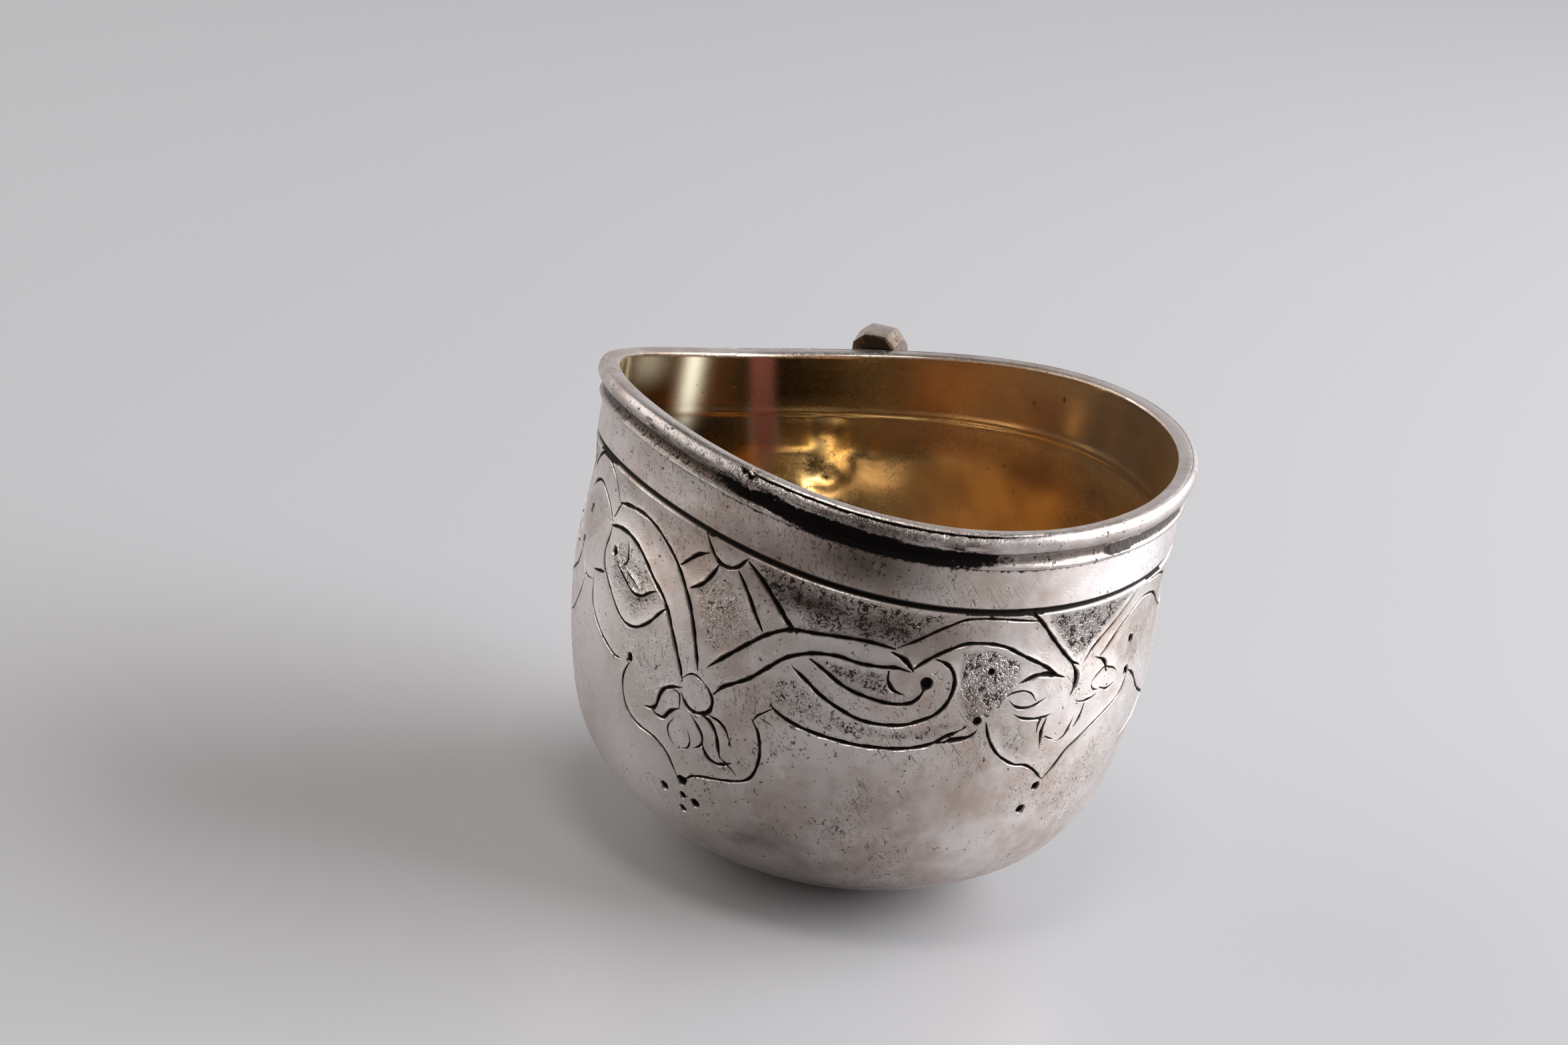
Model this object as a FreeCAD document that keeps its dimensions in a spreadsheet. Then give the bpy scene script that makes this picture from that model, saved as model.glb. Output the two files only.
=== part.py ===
import FreeCAD, Part
import math
import os
from enum import IntEnum

import Sketcher
from FreeCAD import Placement, Rotation, Vector

# A small silver charka, a one-handed drinking cup, in three soldered pieces:
# a bowl raised from one sheet, a moulded wire round its lip and a faceted loop handle.
# +Z is up, the origin is the centre of the flat base, and the handle is at +Y.

doc = FreeCAD.newDocument("charka")

# Driving dimensions: name, value in millimetres or degrees, what it measures
DIMENSIONS = [
    ("cup_height", 49.7, "mean height of the rim over the base"),
    ("mouth_radius", 32.0, "outside of the bead on the rim moulding"),
    ("belly_swell", 0.15, "widest part of the body beyond the collar"),
    ("belly_height", 29.6, "height of that widest place"),
    ("side_arc", 50.0, "radius of the arc up the side"),
    ("corner_height", 15.1, "where the side turns into the rounder corner"),
    ("corner_arc", 17.8, "radius of the arc round the corner"),
    ("bottom_arc", 36.3, "radius of the arc across the bottom"),
    ("base_radius", 9.0, "flat that the cup rests on"),
    ("neck_step", 0.3, "neck below the crease, in from the collar"),
    ("body_wall", 1.0, "sheet of the body"),
    ("lip_wall", 1.2, "sheet of the collar and the lip"),
    ("lip_dip", 0.2, "inner edge of the lip below its outer edge"),
    ("crease_drop", 8.0, "crease below the rim"),
    ("crease_width", 0.9, "crease across its mouth"),
    ("crease_depth", 0.5, "crease into the collar"),
    ("rim_slant", 1.2, "lean of the rim, up or down from its mean"),
    ("crease_slant", 0.4, "lean of the crease"),
    ("slant_angle", -66.0, "side where both stand highest"),
    ("rim_wave", 2.1, "saddle wave of the rim"),
    ("crease_wave", 1.95, "saddle wave of the crease"),
    ("wave_angle", 20.0, "one of the two crests of the wave"),
    ("rim_ripple", 0.33, "three-lobed ripple of the rim"),
    ("crease_ripple", 0.33, "three-lobed ripple of the crease"),
    ("ripple_angle", -53.0, "one of the three crests of the ripple"),
    ("moulding_height", 3.6, "moulded wire from its top to its lower edge"),
    ("moulding_thickness", 1.0, "moulded wire from the collar to the bead"),
    ("bead_height", 1.6, "bead along the top of the wire"),
    ("bead_shoulder", 0.25, "crown of the bead beyond its two edges"),
    ("groove_depth", 0.5, "hollow below the bead"),
    ("edge_height", 0.35, "thin edge along the bottom of the wire"),
    ("edge_thickness", 0.5, "that edge, out from the collar"),
    ("joint_angle", 237.0, "butt joint of the wire, at the front left"),
    ("joint_gap", 0.4, "open gap in the butt joint"),
    ("handle_angle", 90.0, "side of the cup that carries the handle"),
    ("handle_turn_angle", -16.0, "turn of the handle's plane about its root"),
    ("handle_rise", 1.45, "top of the bar above the rim"),
    ("root_lap", 0.35, "end of the bar over the edge of the moulding"),
    ("shelf_length", 3.2, "straight stretch of the bar out from the rim"),
    ("loop_radius", 8.5, "upper bend of the handle, along its middle"),
    ("tail_radius", 4.0, "curl of the tail, along its middle"),
    ("tail_height", 22.5, "seat of the tail on the belly"),
    ("tail_angle", 100.0, "curl of the tail past its seat"),
    ("seat_depth", 0.45, "bar filed away to seat on the belly"),
    ("bar_width", 4.6, "bar at the rim"),
    ("bar_thickness", 3.4, "bar at the rim and round the loop"),
    ("bar_chamfer", 1.1, "cut corners of the bar"),
    ("loop_width", 5.4, "bar where the loop stands furthest out"),
    ("tail_width", 3.0, "end of the tail"),
    ("tail_thickness", 1.9, "end of the tail"),
    ("tail_chamfer", 0.6, "cut corners at the end of the tail"),
    ("overrun", 1.5, "trimming shapes beyond what they trim"),
]

RING_POINTS = 48
BEAD_FLATS = 5
GROOVE_FLATS = 4
FULL_TURN = 360.0
QUARTER_TURN = 90.0
HALF_TURN = 180.0


class Point(IntEnum):
    """The sketcher's numbers for the points of a line or an arc."""

    START = 1
    END = 2
    CENTRE = 3


# The sketch's own origin, as the sketcher names it
ORIGIN = (-1, Point.START)


def fill_sheet(name, rows):
    """A sheet of named numbers, one to a row."""
    sheet = doc.addObject("Spreadsheet::Sheet", name)
    for row, (alias, value, meaning) in enumerate(rows, 1):
        sheet.set(f"A{row}", alias)
        sheet.set(f"B{row}", str(value))
        sheet.setAlias(f"B{row}", alias)
        sheet.set(f"C{row}", meaning)
    doc.recompute()
    return sheet


sizes = fill_sheet("Sizes", DIMENSIONS)


def size(alias):
    """The number that the sheet holds under this alias."""
    return float(getattr(sizes, alias))


cup_height = size("cup_height")
mouth_radius = size("mouth_radius")
collar_radius = mouth_radius - size("moulding_thickness")
lip_radius = collar_radius - size("lip_wall")
neck_radius = collar_radius - size("neck_step")
belly_radius = collar_radius + size("belly_swell")
body_wall = size("body_wall")
overrun = size("overrun")
crease_height = cup_height - size("crease_drop")
rim_reach = size("rim_slant") + size("rim_wave") + size("rim_ripple")
blank_top = cup_height + rim_reach + overrun


# Sketch helpers

def origin_plane(body, role):
    return next(item for item in body.Origin.OriginFeatures if item.Role == role)


def new_sketch(body, name, role):
    """A sketch on one of the body's own planes."""
    sketch = body.newObject("Sketcher::SketchObject", name)
    sketch.AttachmentSupport = [(origin_plane(body, role), "")]
    sketch.MapMode = "FlatFace"
    return sketch


def bind(sketch, kind, elements, value, expression):
    """A dimension of the sketch, tied to the sheets by an expression."""
    index = sketch.addConstraint(Sketcher.Constraint(kind, *elements, value))
    sketch.setExpression(f"Constraints[{index}]", expression)


def bind_across(sketch, geometry, point, value, expression):
    """Hold a point at a distance across from the sketch's origin."""
    bind(sketch, "DistanceX", (*ORIGIN, geometry, point), value, expression)


def bind_upward(sketch, geometry, point, value, expression):
    """Hold a point at a height above the sketch's origin."""
    bind(sketch, "DistanceY", (*ORIGIN, geometry, point), value, expression)


def join(sketch, kind, *elements):
    sketch.addConstraint(Sketcher.Constraint(kind, *elements))


def arc(centre, radius, first, last):
    """An arc in a sketch, turning left from its first angle to its last, in radians."""
    circle = Part.Circle(centre, Vector(0, 0, 1), radius)
    return Part.ArcOfCircle(circle, first, last)


def direction(centre, point):
    """Angle of a point seen from a centre, in radians."""
    return math.atan2(point.y - centre.y, point.x - centre.x)


# The rim isn't level: it leans, waves and ripples round the mouth, and the crease below it too

def swell(angle, slant, wave, ripple):
    """Height above or below the mean at an angle round the cup, in degrees."""
    lean = slant * math.cos(math.radians(angle - size("slant_angle")))
    saddle = wave * math.cos(2 * math.radians(angle - size("wave_angle")))
    lobes = ripple * math.cos(3 * math.radians(angle - size("ripple_angle")))
    return lean + saddle + lobes


def rim_swell(angle):
    return swell(angle, size("rim_slant"), size("rim_wave"), size("rim_ripple"))


def crease_swell(angle):
    return swell(angle, size("crease_slant"), size("crease_wave"), size("crease_ripple"))


def waved_point(radius, height, angle):
    """A point round the collar, whose height swells with the crease and the rim."""
    rise_share = (height - crease_height) / (cup_height - crease_height)
    offset = (1 - rise_share) * crease_swell(angle) + rise_share * rim_swell(angle)
    turn = math.radians(angle)
    return Vector(radius * math.cos(turn), radius * math.sin(turn), height + offset)


def ring(radius, height):
    """A closed waved curve, round in plan."""
    step = FULL_TURN / RING_POINTS
    points = [waved_point(radius, height, index * step) for index in range(RING_POINTS)]
    curve = Part.BSplineCurve()
    even = [float(index) for index in range(RING_POINTS + 1)]
    curve.interpolate(Points=points, PeriodicFlag=True, Parameters=even)
    return curve


def rail(radius, height):
    """An open waved curve, from one end of the butt joint round to the other."""
    gap_angle = math.degrees(size("joint_gap") / mouth_radius)
    first = size("joint_angle") + gap_angle / 2
    step = (FULL_TURN - gap_angle) / RING_POINTS
    angles = [first + index * step for index in range(RING_POINTS + 1)]
    curve = Part.BSplineCurve()
    even = [float(index) for index in range(RING_POINTS + 1)]
    curve.interpolate(Points=[waved_point(radius, height, angle) for angle in angles],
                      Parameters=even)
    return curve


def ruled_face(lower, upper):
    """The surface swept by straight lines between two waved curves."""
    surface = Part.BSplineSurface()
    surface.buildFromPolesMultsKnots(
        [list(pair) for pair in zip(lower.getPoles(), upper.getPoles())],
        lower.getMultiplicities(), (2, 2),
        lower.getKnots(), (0.0, 1.0),
        lower.isPeriodic(), False, lower.Degree, 1,
    )
    return surface.toShape()


def closed_solid(faces):
    """The solid inside faces that meet edge to edge."""
    solid = Part.Solid(Part.Shell(faces))
    if solid.Volume < 0:
        solid.reverse()
    return solid


def waved_ring(rows):
    """A ring-shaped solid whose cross-section has a corner at each row of radius and height."""
    curves = [ring(*row) for row in rows]
    return closed_solid([
        ruled_face(curve, following)
        for curve, following in zip(curves, curves[1:] + curves[:1])
    ])


def shaped(label, shape):
    """An object whose shape no sketch or primitive gives."""
    piece = doc.addObject("Part::Feature", label)
    piece.Label = label
    piece.Shape = shape
    piece.Placement = Placement()
    return piece


def boolean(kind, label, base, tool):
    """Cut one object from another, or fuse the two."""
    result = doc.addObject(f"Part::{kind}", label)
    result.Label = label
    result.Base = base
    result.Tool = tool
    return result


# The bowl: a round blank, turned from the outline of its wall

side_centre = Vector(belly_radius - size("side_arc"), size("belly_height"), 0)


def side_radius_at(height):
    """Outside radius of the body on its side arc."""
    rise = height - side_centre.y
    return side_centre.x + math.sqrt(size("side_arc") ** 2 - rise ** 2)


# Where the side meets the corner, and the corner's centre on the side's own radius there
corner_joint = Vector(side_radius_at(size("corner_height")), size("corner_height"), 0)
inward = (side_centre - corner_joint).normalize()
corner_centre = corner_joint + inward * size("corner_arc")

# The bottom arc starts at the base's edge and is tangent to the corner
base_edge = Vector(size("base_radius"), 0, 0)
reach = corner_centre - base_edge
bottom_arc = size("bottom_arc")
centre_spacing = bottom_arc - size("corner_arc")
along = (bottom_arc ** 2 - centre_spacing ** 2 + reach.Length ** 2) / (2 * reach.Length)
aside = math.sqrt(bottom_arc ** 2 - along ** 2)
reach.normalize()
bottom_centre = base_edge + reach * along + Vector(-reach.y, reach.x, 0) * aside

side_turn = direction(side_centre, corner_joint)
corner_turn = direction(bottom_centre, corner_centre)


def wall_arcs(inset, top_radius, foot_height):
    """Bottom, corner and side arcs of the wall, set in from its outside."""
    side = size("side_arc") - inset
    corner = size("corner_arc") - inset
    bottom = bottom_arc - inset
    foot_turn = math.asin((foot_height - bottom_centre.y) / bottom)
    top_turn = math.acos((top_radius - side_centre.x) / side)
    return [
        arc(bottom_centre, bottom, foot_turn, corner_turn),
        arc(corner_centre, corner, corner_turn, side_turn),
        arc(side_centre, side, side_turn, top_turn),
    ]


outside_arcs = wall_arcs(0, neck_radius, 0)
inside_arcs = wall_arcs(body_wall, lip_radius, body_wall)

fill_sheet("OutlinePlaces", [
    ("belly", belly_radius, "outside of the body where it is widest"),
    ("neck", neck_radius, "outside of the neck"),
    ("lip", lip_radius, "inside of the collar and neck"),
    ("blank_top", blank_top, "top of the blank before it is trimmed to the rim"),
    ("inside_corner", inside_arcs[1].EndPoint.y, "where the inside's side meets its corner"),
    ("inside_bottom", inside_arcs[0].EndPoint.y, "where the inside's corner meets its bottom"),
])


def draw_wall(sketch):
    """Half the blank's section, anticlockwise from the middle of its base."""
    centre_foot = Vector(0, 0, 0)
    neck_foot = outside_arcs[2].EndPoint
    lip_foot = inside_arcs[2].EndPoint
    neck_top = Vector(neck_radius, blank_top, 0)
    lip_top = Vector(lip_radius, blank_top, 0)
    inside_foot = inside_arcs[0].StartPoint
    centre_floor = Vector(0, body_wall, 0)

    base = sketch.addGeometry(Part.LineSegment(centre_foot, base_edge))
    bottom, corner, side = [sketch.addGeometry(item) for item in outside_arcs]
    neck = sketch.addGeometry(Part.LineSegment(neck_foot, neck_top))
    top = sketch.addGeometry(Part.LineSegment(neck_top, lip_top))
    lip = sketch.addGeometry(Part.LineSegment(lip_top, lip_foot))
    in_bottom, in_corner, in_side = [sketch.addGeometry(item) for item in inside_arcs]
    floor = sketch.addGeometry(Part.LineSegment(inside_foot, centre_floor))
    axis = sketch.addGeometry(Part.LineSegment(centre_floor, centre_foot))

    join(sketch, "Coincident", base, Point.START, *ORIGIN)
    join(sketch, "Coincident", base, Point.END, bottom, Point.START)
    join(sketch, "Tangent", bottom, Point.END, corner, Point.START)
    join(sketch, "Tangent", corner, Point.END, side, Point.START)
    join(sketch, "Coincident", side, Point.END, neck, Point.START)
    join(sketch, "Coincident", neck, Point.END, top, Point.START)
    join(sketch, "Coincident", top, Point.END, lip, Point.START)
    join(sketch, "Coincident", lip, Point.END, in_side, Point.END)
    join(sketch, "Tangent", in_side, Point.START, in_corner, Point.END)
    join(sketch, "Tangent", in_corner, Point.START, in_bottom, Point.END)
    join(sketch, "Coincident", in_bottom, Point.START, floor, Point.START)
    join(sketch, "Coincident", floor, Point.END, axis, Point.START)
    join(sketch, "Coincident", axis, Point.END, *ORIGIN)
    join(sketch, "Coincident", in_side, Point.CENTRE, side, Point.CENTRE)
    for level in (base, top, floor):
        join(sketch, "Horizontal", level)
    for upright in (neck, lip, axis):
        join(sketch, "Vertical", upright)

    bind_across(sketch, base, Point.END, base_edge.x, "Sizes.base_radius")
    bind_across(sketch, neck, Point.START, neck_radius, "OutlinePlaces.neck")
    bind_across(sketch, lip, Point.START, lip_radius, "OutlinePlaces.lip")
    bind_across(
        sketch, side, Point.CENTRE, side_centre.x, "OutlinePlaces.belly - Sizes.side_arc"
    )
    bind_upward(sketch, side, Point.CENTRE, side_centre.y, "Sizes.belly_height")
    bind_upward(sketch, side, Point.START, corner_joint.y, "Sizes.corner_height")
    bind_upward(sketch, neck, Point.END, blank_top, "OutlinePlaces.blank_top")
    bind_upward(sketch, floor, Point.START, body_wall, "Sizes.body_wall")
    in_corner_top, in_bottom_top = inside_arcs[1].EndPoint.y, inside_arcs[0].EndPoint.y
    bind_upward(sketch, in_side, Point.START, in_corner_top, "OutlinePlaces.inside_corner")
    bind_upward(sketch, in_corner, Point.START, in_bottom_top, "OutlinePlaces.inside_bottom")
    for outer, inner, alias in (
        (bottom, in_bottom, "bottom_arc"),
        (corner, in_corner, "corner_arc"),
        (side, in_side, "side_arc"),
    ):
        bind(sketch, "Radius", (outer,), size(alias), f"Sizes.{alias}")
        inner_radius = size(alias) - body_wall
        bind(sketch, "Radius", (inner,), inner_radius, f"Sizes.{alias} - Sizes.body_wall")


bowl_blank = doc.addObject("PartDesign::Body", "bowl_blank")
wall_sketch = new_sketch(bowl_blank, "wall_outline", "XZ_Plane")
draw_wall(wall_sketch)
doc.recompute()
turned_wall = bowl_blank.newObject("PartDesign::Revolution", "turned_wall")
turned_wall.Profile = wall_sketch
turned_wall.ReferenceAxis = (wall_sketch, ["V_Axis"])
turned_wall.Angle = FULL_TURN
bowl_blank.Tip = turned_wall
doc.recompute()

# The collar stands a little proud of the neck, from the crease up
collar_heart = lip_radius + size("lip_wall") / 2
collar = shaped("collar", waved_ring([
    (collar_heart, crease_height),
    (collar_radius, crease_height),
    (collar_radius, cup_height + overrun),
    (collar_heart, cup_height + overrun),
]))

# What is trimmed away above the lip, whose top dips a little inwards
lip_slope = size("lip_dip") / size("lip_wall")
trim_level = blank_top + 2 * rim_reach
lip_trimmings = shaped("lip_trimmings", waved_ring([
    (lip_radius - overrun, cup_height - size("lip_dip") - lip_slope * overrun),
    (collar_radius + overrun, cup_height + lip_slope * overrun),
    (collar_radius + overrun, trim_level),
    (lip_radius - overrun, trim_level),
]))

# The crease is cut as a sharp groove between the collar and the neck
crease_spread = size("crease_width") / 2 * (1 + overrun / size("crease_depth"))
crease_cut = shaped("crease_cut", waved_ring([
    (collar_radius - size("crease_depth"), crease_height),
    (collar_radius + overrun, crease_height - crease_spread),
    (collar_radius + overrun, crease_height + crease_spread),
]))

collared = boolean("Fuse", "collared", bowl_blank, collar)
trimmed = boolean("Cut", "trimmed", collared, lip_trimmings)
bowl = boolean("Cut", "bowl", trimmed, crease_cut)
doc.recompute()


# The moulded wire: a bead above a hollow groove, with a thin lower edge

def bow(start, end, depth, flats):
    """Rows along an arc between two rows; a positive depth swells outwards."""
    begin, finish = Vector(*start, 0), Vector(*end, 0)
    middle = (begin + finish) / 2 + Vector(depth, 0, 0)
    curve = Part.Arc(begin, middle, finish)
    return [(point.x, point.y) for point in curve.toShape().discretize(flats + 1)]


def moulding_section():
    """Corners of the wire's cross-section, as rows of radius and height."""
    shoulder = mouth_radius - size("bead_shoulder")
    edge_radius = collar_radius + size("edge_thickness")
    lower_edge = cup_height - size("moulding_height")
    bead_top = (shoulder, cup_height)
    bead_foot = (shoulder, cup_height - size("bead_height"))
    groove_foot = (edge_radius, lower_edge + size("edge_height"))
    bead = bow(bead_top, bead_foot, size("bead_shoulder"), BEAD_FLATS)
    groove = bow(bead_foot, groove_foot, -size("groove_depth"), GROOVE_FLATS)
    return [
        (collar_radius, cup_height),
        *bead,
        *groove[1:],
        (edge_radius, lower_edge),
        (collar_radius, lower_edge),
    ]


def make_moulding():
    """The wire, bent once round the lip and left open at its butt joint."""
    rails = [rail(*row) for row in moulding_section()]
    faces = [
        ruled_face(curve, following)
        for curve, following in zip(rails, rails[1:] + rails[:1])
    ]
    for end in (rails[0].FirstParameter, rails[0].LastParameter):
        corners = [curve.value(end) for curve in rails]
        faces.append(Part.Face(Part.makePolygon(corners + corners[:1])))
    return closed_solid(faces)


moulding = shaped("rim_moulding", make_moulding())


# The handle: an eight-sided bar that leaves the rim, loops down and curls off the belly

root_radius = mouth_radius
handle_turn = math.radians(size("handle_turn_angle"))
rim_at_handle = cup_height + rim_swell(size("handle_angle"))
bar_middle = rim_at_handle + size("handle_rise") - size("bar_thickness") / 2
belly_at_seat = side_radius_at(size("tail_height"))
# Where the handle's plane, turned about its root, meets the belly
seat_radius = (
    root_radius * (1 - math.cos(handle_turn))
    + math.sqrt(belly_at_seat ** 2 - (root_radius * math.sin(handle_turn)) ** 2)
)
seat_thickness = (size("bar_thickness") + size("tail_thickness")) / 2
curl_middle = seat_radius + seat_thickness / 2 - size("seat_depth") + size("tail_radius")
loop_start = root_radius + size("shelf_length")
loop_reach = loop_start + size("loop_radius")
loop_level = bar_middle - size("loop_radius")
reach_back = curl_middle - loop_reach
reach_down = loop_level - size("tail_height")
back_radius = (
    (reach_back ** 2 + reach_down ** 2 - size("tail_radius") ** 2)
    / (2 * (size("tail_radius") - reach_back))
)
tail_end_angle = HALF_TURN + size("tail_angle")
tail_drop = size("tail_radius") * math.sin(math.radians(tail_end_angle))
tail_reach = size("tail_radius") * math.cos(math.radians(tail_end_angle))

# Places on the handle that follow from the cup
seats = fill_sheet("Seats", [
    ("root_end", root_radius - size("root_lap"), "end of the bar from the cup's axis"),
    ("bar_level", bar_middle, "middle of the bar at the rim"),
    ("loop_begin", loop_start, "end of the straight stretch"),
    ("loop_out", loop_reach, "furthest point of the bar's middle"),
    ("loop_drop", loop_level, "height of that point"),
    ("curl_out", curl_middle, "centre of the tail's curl"),
    ("curl_drop", size("tail_height"), "height of that centre"),
    ("tail_out", curl_middle + tail_reach, "end of the tail"),
    ("tail_level", size("tail_height") + tail_drop, "height of that end"),
])

handle_bar = doc.addObject("PartDesign::Body", "handle_bar")


def draw_spine(sketch):
    """Middle line of the bar: out from the rim, round the loop, back, and round the curl."""
    loop_centre = Vector(loop_start, loop_level, 0)
    back_centre = Vector(loop_reach - back_radius, loop_level, 0)
    curl_centre = Vector(curl_middle, size("tail_height"), 0)
    meeting = direction(curl_centre, back_centre)
    quarter = math.radians(QUARTER_TURN)
    half = math.radians(HALF_TURN)
    start = Vector(seats.root_end, bar_middle, 0)
    bend = Vector(loop_start, bar_middle, 0)
    shelf = sketch.addGeometry(Part.LineSegment(start, bend))
    loop = sketch.addGeometry(arc(loop_centre, size("loop_radius"), 0, quarter))
    back = sketch.addGeometry(arc(back_centre, back_radius, meeting - half, 0))
    curl = sketch.addGeometry(
        arc(curl_centre, size("tail_radius"), meeting, math.radians(tail_end_angle))
    )
    join(sketch, "Horizontal", shelf)
    join(sketch, "Tangent", shelf, Point.END, loop, Point.END)
    join(sketch, "Tangent", loop, Point.START, back, Point.END)
    join(sketch, "Tangent", back, Point.START, curl, Point.START)
    join(sketch, "Horizontal", loop, Point.START, loop, Point.CENTRE)
    bind_across(sketch, shelf, Point.START, start.x, "Seats.root_end")
    bind_upward(sketch, shelf, Point.START, start.y, "Seats.bar_level")
    bind_across(sketch, shelf, Point.END, bend.x, "Seats.loop_begin")
    bind(sketch, "Radius", (loop,), size("loop_radius"), "Sizes.loop_radius")
    bind(sketch, "Radius", (curl,), size("tail_radius"), "Sizes.tail_radius")
    bind_across(sketch, curl, Point.CENTRE, curl_centre.x, "Seats.curl_out")
    bind_upward(sketch, curl, Point.CENTRE, curl_centre.y, "Seats.curl_drop")
    bind_upward(sketch, curl, Point.END, seats.tail_level, "Seats.tail_level")


def draw_section(sketch, width, thickness, chamfer):
    """The bar's eight-sided section, drawn round the sketch's own origin."""
    half_width = f"Sizes.{width} / 2"
    half_thickness = f"Sizes.{thickness} / 2"
    flat_width = f"({half_width} - Sizes.{chamfer})"
    flat_thickness = f"({half_thickness} - Sizes.{chamfer})"
    wide, thick = size(width) / 2, size(thickness) / 2
    cut_wide, cut_thick = wide - size(chamfer), thick - size(chamfer)
    corners = [
        (wide, cut_thick, half_width, flat_thickness),
        (cut_wide, thick, flat_width, half_thickness),
        (-cut_wide, thick, "-" + flat_width, half_thickness),
        (-wide, cut_thick, f"-({half_width})", flat_thickness),
        (-wide, -cut_thick, f"-({half_width})", "-" + flat_thickness),
        (-cut_wide, -thick, "-" + flat_width, f"-({half_thickness})"),
        (cut_wide, -thick, flat_width, f"-({half_thickness})"),
        (wide, -cut_thick, half_width, "-" + flat_thickness),
    ]
    points = [Vector(x, y, 0) for x, y, _, _ in corners]
    for index, point in enumerate(points):
        sketch.addGeometry(Part.LineSegment(point, points[(index + 1) % len(points)]))
    for index, (x, y, x_expression, y_expression) in enumerate(corners):
        following = (index + 1) % len(corners)
        join(sketch, "Coincident", index, Point.END, following, Point.START)
        bind_across(sketch, index, Point.START, x, x_expression)
        bind_upward(sketch, index, Point.START, y, y_expression)


def place_section(sketch, out, level, tilt):
    """Stand a section across the spine: out and level name cells, tilt is in degrees."""
    sketch.AttachmentOffset = Placement(Vector(), Rotation(Vector(1, 0, 0), tilt))
    sketch.setExpression(".AttachmentOffset.Base.y", f"Seats.{level}")
    sketch.setExpression(".AttachmentOffset.Base.z", f"-Seats.{out}")


spine = new_sketch(handle_bar, "handle_spine", "YZ_Plane")
draw_spine(spine)

root_section = new_sketch(handle_bar, "root_section", "XZ_Plane")
draw_section(root_section, "bar_width", "bar_thickness", "bar_chamfer")
place_section(root_section, "root_end", "bar_level", 0)

loop_section = new_sketch(handle_bar, "loop_section", "XZ_Plane")
draw_section(loop_section, "loop_width", "bar_thickness", "bar_chamfer")
place_section(loop_section, "loop_out", "loop_drop", -QUARTER_TURN)

tail_section = new_sketch(handle_bar, "tail_section", "XZ_Plane")
draw_section(tail_section, "tail_width", "tail_thickness", "tail_chamfer")
place_section(tail_section, "tail_out", "tail_level", size("tail_angle") - QUARTER_TURN)
doc.recompute()

bar_pipe = handle_bar.newObject("PartDesign::AdditivePipe", "bar_pipe")
bar_pipe.Profile = root_section
bar_pipe.Spine = (spine, [])
bar_pipe.Sections = [(loop_section, [""]), (tail_section, [""])]
bar_pipe.Transformation = "Multisection"
handle_bar.Tip = bar_pipe

# The bar's plane is turned a little about the upright line through its root
around_axis = Placement(
    Vector(), Rotation(Vector(0, 0, 1), size("handle_angle") - QUARTER_TURN)
)
about_root = Placement(
    Vector(), Rotation(Vector(0, 0, 1), size("handle_turn_angle")), Vector(0, root_radius, 0)
)
handle_bar.Placement = around_axis.multiply(about_root)
doc.recompute()

# Its end is filed to the moulding and its tail to the belly, where the two are soldered
filed_to_bowl = boolean("Cut", "filed_to_bowl", handle_bar, bowl)
handle = boolean("Cut", "handle", filed_to_bowl, moulding)
doc.recompute()


def check(item):
    """Stop if an object failed, or if a shape is missing or broken."""
    for state in ("Invalid", "Error"):
        if state in item.State:
            raise RuntimeError(f"{item.Label} is {state}")
    shape = getattr(item, "Shape", None)
    if item in PIECES and (shape is None or shape.isNull() or not shape.isValid()):
        raise RuntimeError(f"{item.Label} has no valid shape")


PIECES = [bowl, moulding, handle]
for item in doc.Objects:
    check(item)

os.makedirs("parts", exist_ok=True)
for piece in PIECES:
    piece.Shape.exportStep(f"parts/{piece.Label}.step")
    box = piece.Shape.BoundBox
    print(
        piece.Label, len(piece.Shape.Solids), "solid", round(piece.Shape.Volume, 1), "mm3",
        [round(v, 2) for v in (box.XMin, box.YMin, box.ZMin, box.XMax, box.YMax, box.ZMax)],
    )
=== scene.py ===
import math
from collections import namedtuple

import bmesh
import bpy
import numpy as np
from mathutils import Matrix, Vector, noise
from mathutils.geometry import delaunay_2d_cdt
from mathutils.kdtree import KDTree


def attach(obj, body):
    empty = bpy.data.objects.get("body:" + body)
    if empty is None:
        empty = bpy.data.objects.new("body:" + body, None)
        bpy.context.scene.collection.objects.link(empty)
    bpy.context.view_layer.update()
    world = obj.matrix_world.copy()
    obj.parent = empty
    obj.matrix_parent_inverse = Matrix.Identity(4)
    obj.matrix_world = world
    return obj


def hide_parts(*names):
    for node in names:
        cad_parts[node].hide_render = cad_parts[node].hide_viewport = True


# A small antique silver charka: an engraved bowl with a gilt inside, a moulded wire
# round its lip and a faceted loop handle. Sizes are in millimetres and turned into
# metres when a mesh is made. Angles go round the cup in degrees, with the handle at 90.

MM = 0.001
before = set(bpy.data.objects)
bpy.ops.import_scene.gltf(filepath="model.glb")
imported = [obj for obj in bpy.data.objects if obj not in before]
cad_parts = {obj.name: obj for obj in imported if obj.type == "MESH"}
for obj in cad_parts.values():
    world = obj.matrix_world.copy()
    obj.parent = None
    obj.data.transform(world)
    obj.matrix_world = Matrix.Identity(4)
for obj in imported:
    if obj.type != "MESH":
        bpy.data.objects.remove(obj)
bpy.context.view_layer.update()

# The cup's outline
CUP_HEIGHT = 49.7
BASE_RADIUS = 9.0
BELLY_RADIUS = 31.15
BELLY_HEIGHT = 29.6
SIDE_ARC = 50.0
CORNER_HEIGHT = 15.1
CORNER_ARC = 17.8
BOTTOM_ARC = 36.3
WAIST_HEIGHT = 36.8
COLLAR_RADIUS = 31.0
COLLAR_FOOT = 41.25
CREASE_HEIGHT = 41.7
CREASE_WIDTH = 0.9
CREASE_DEPTH = 0.5
LIP_RADIUS = 29.8
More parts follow.
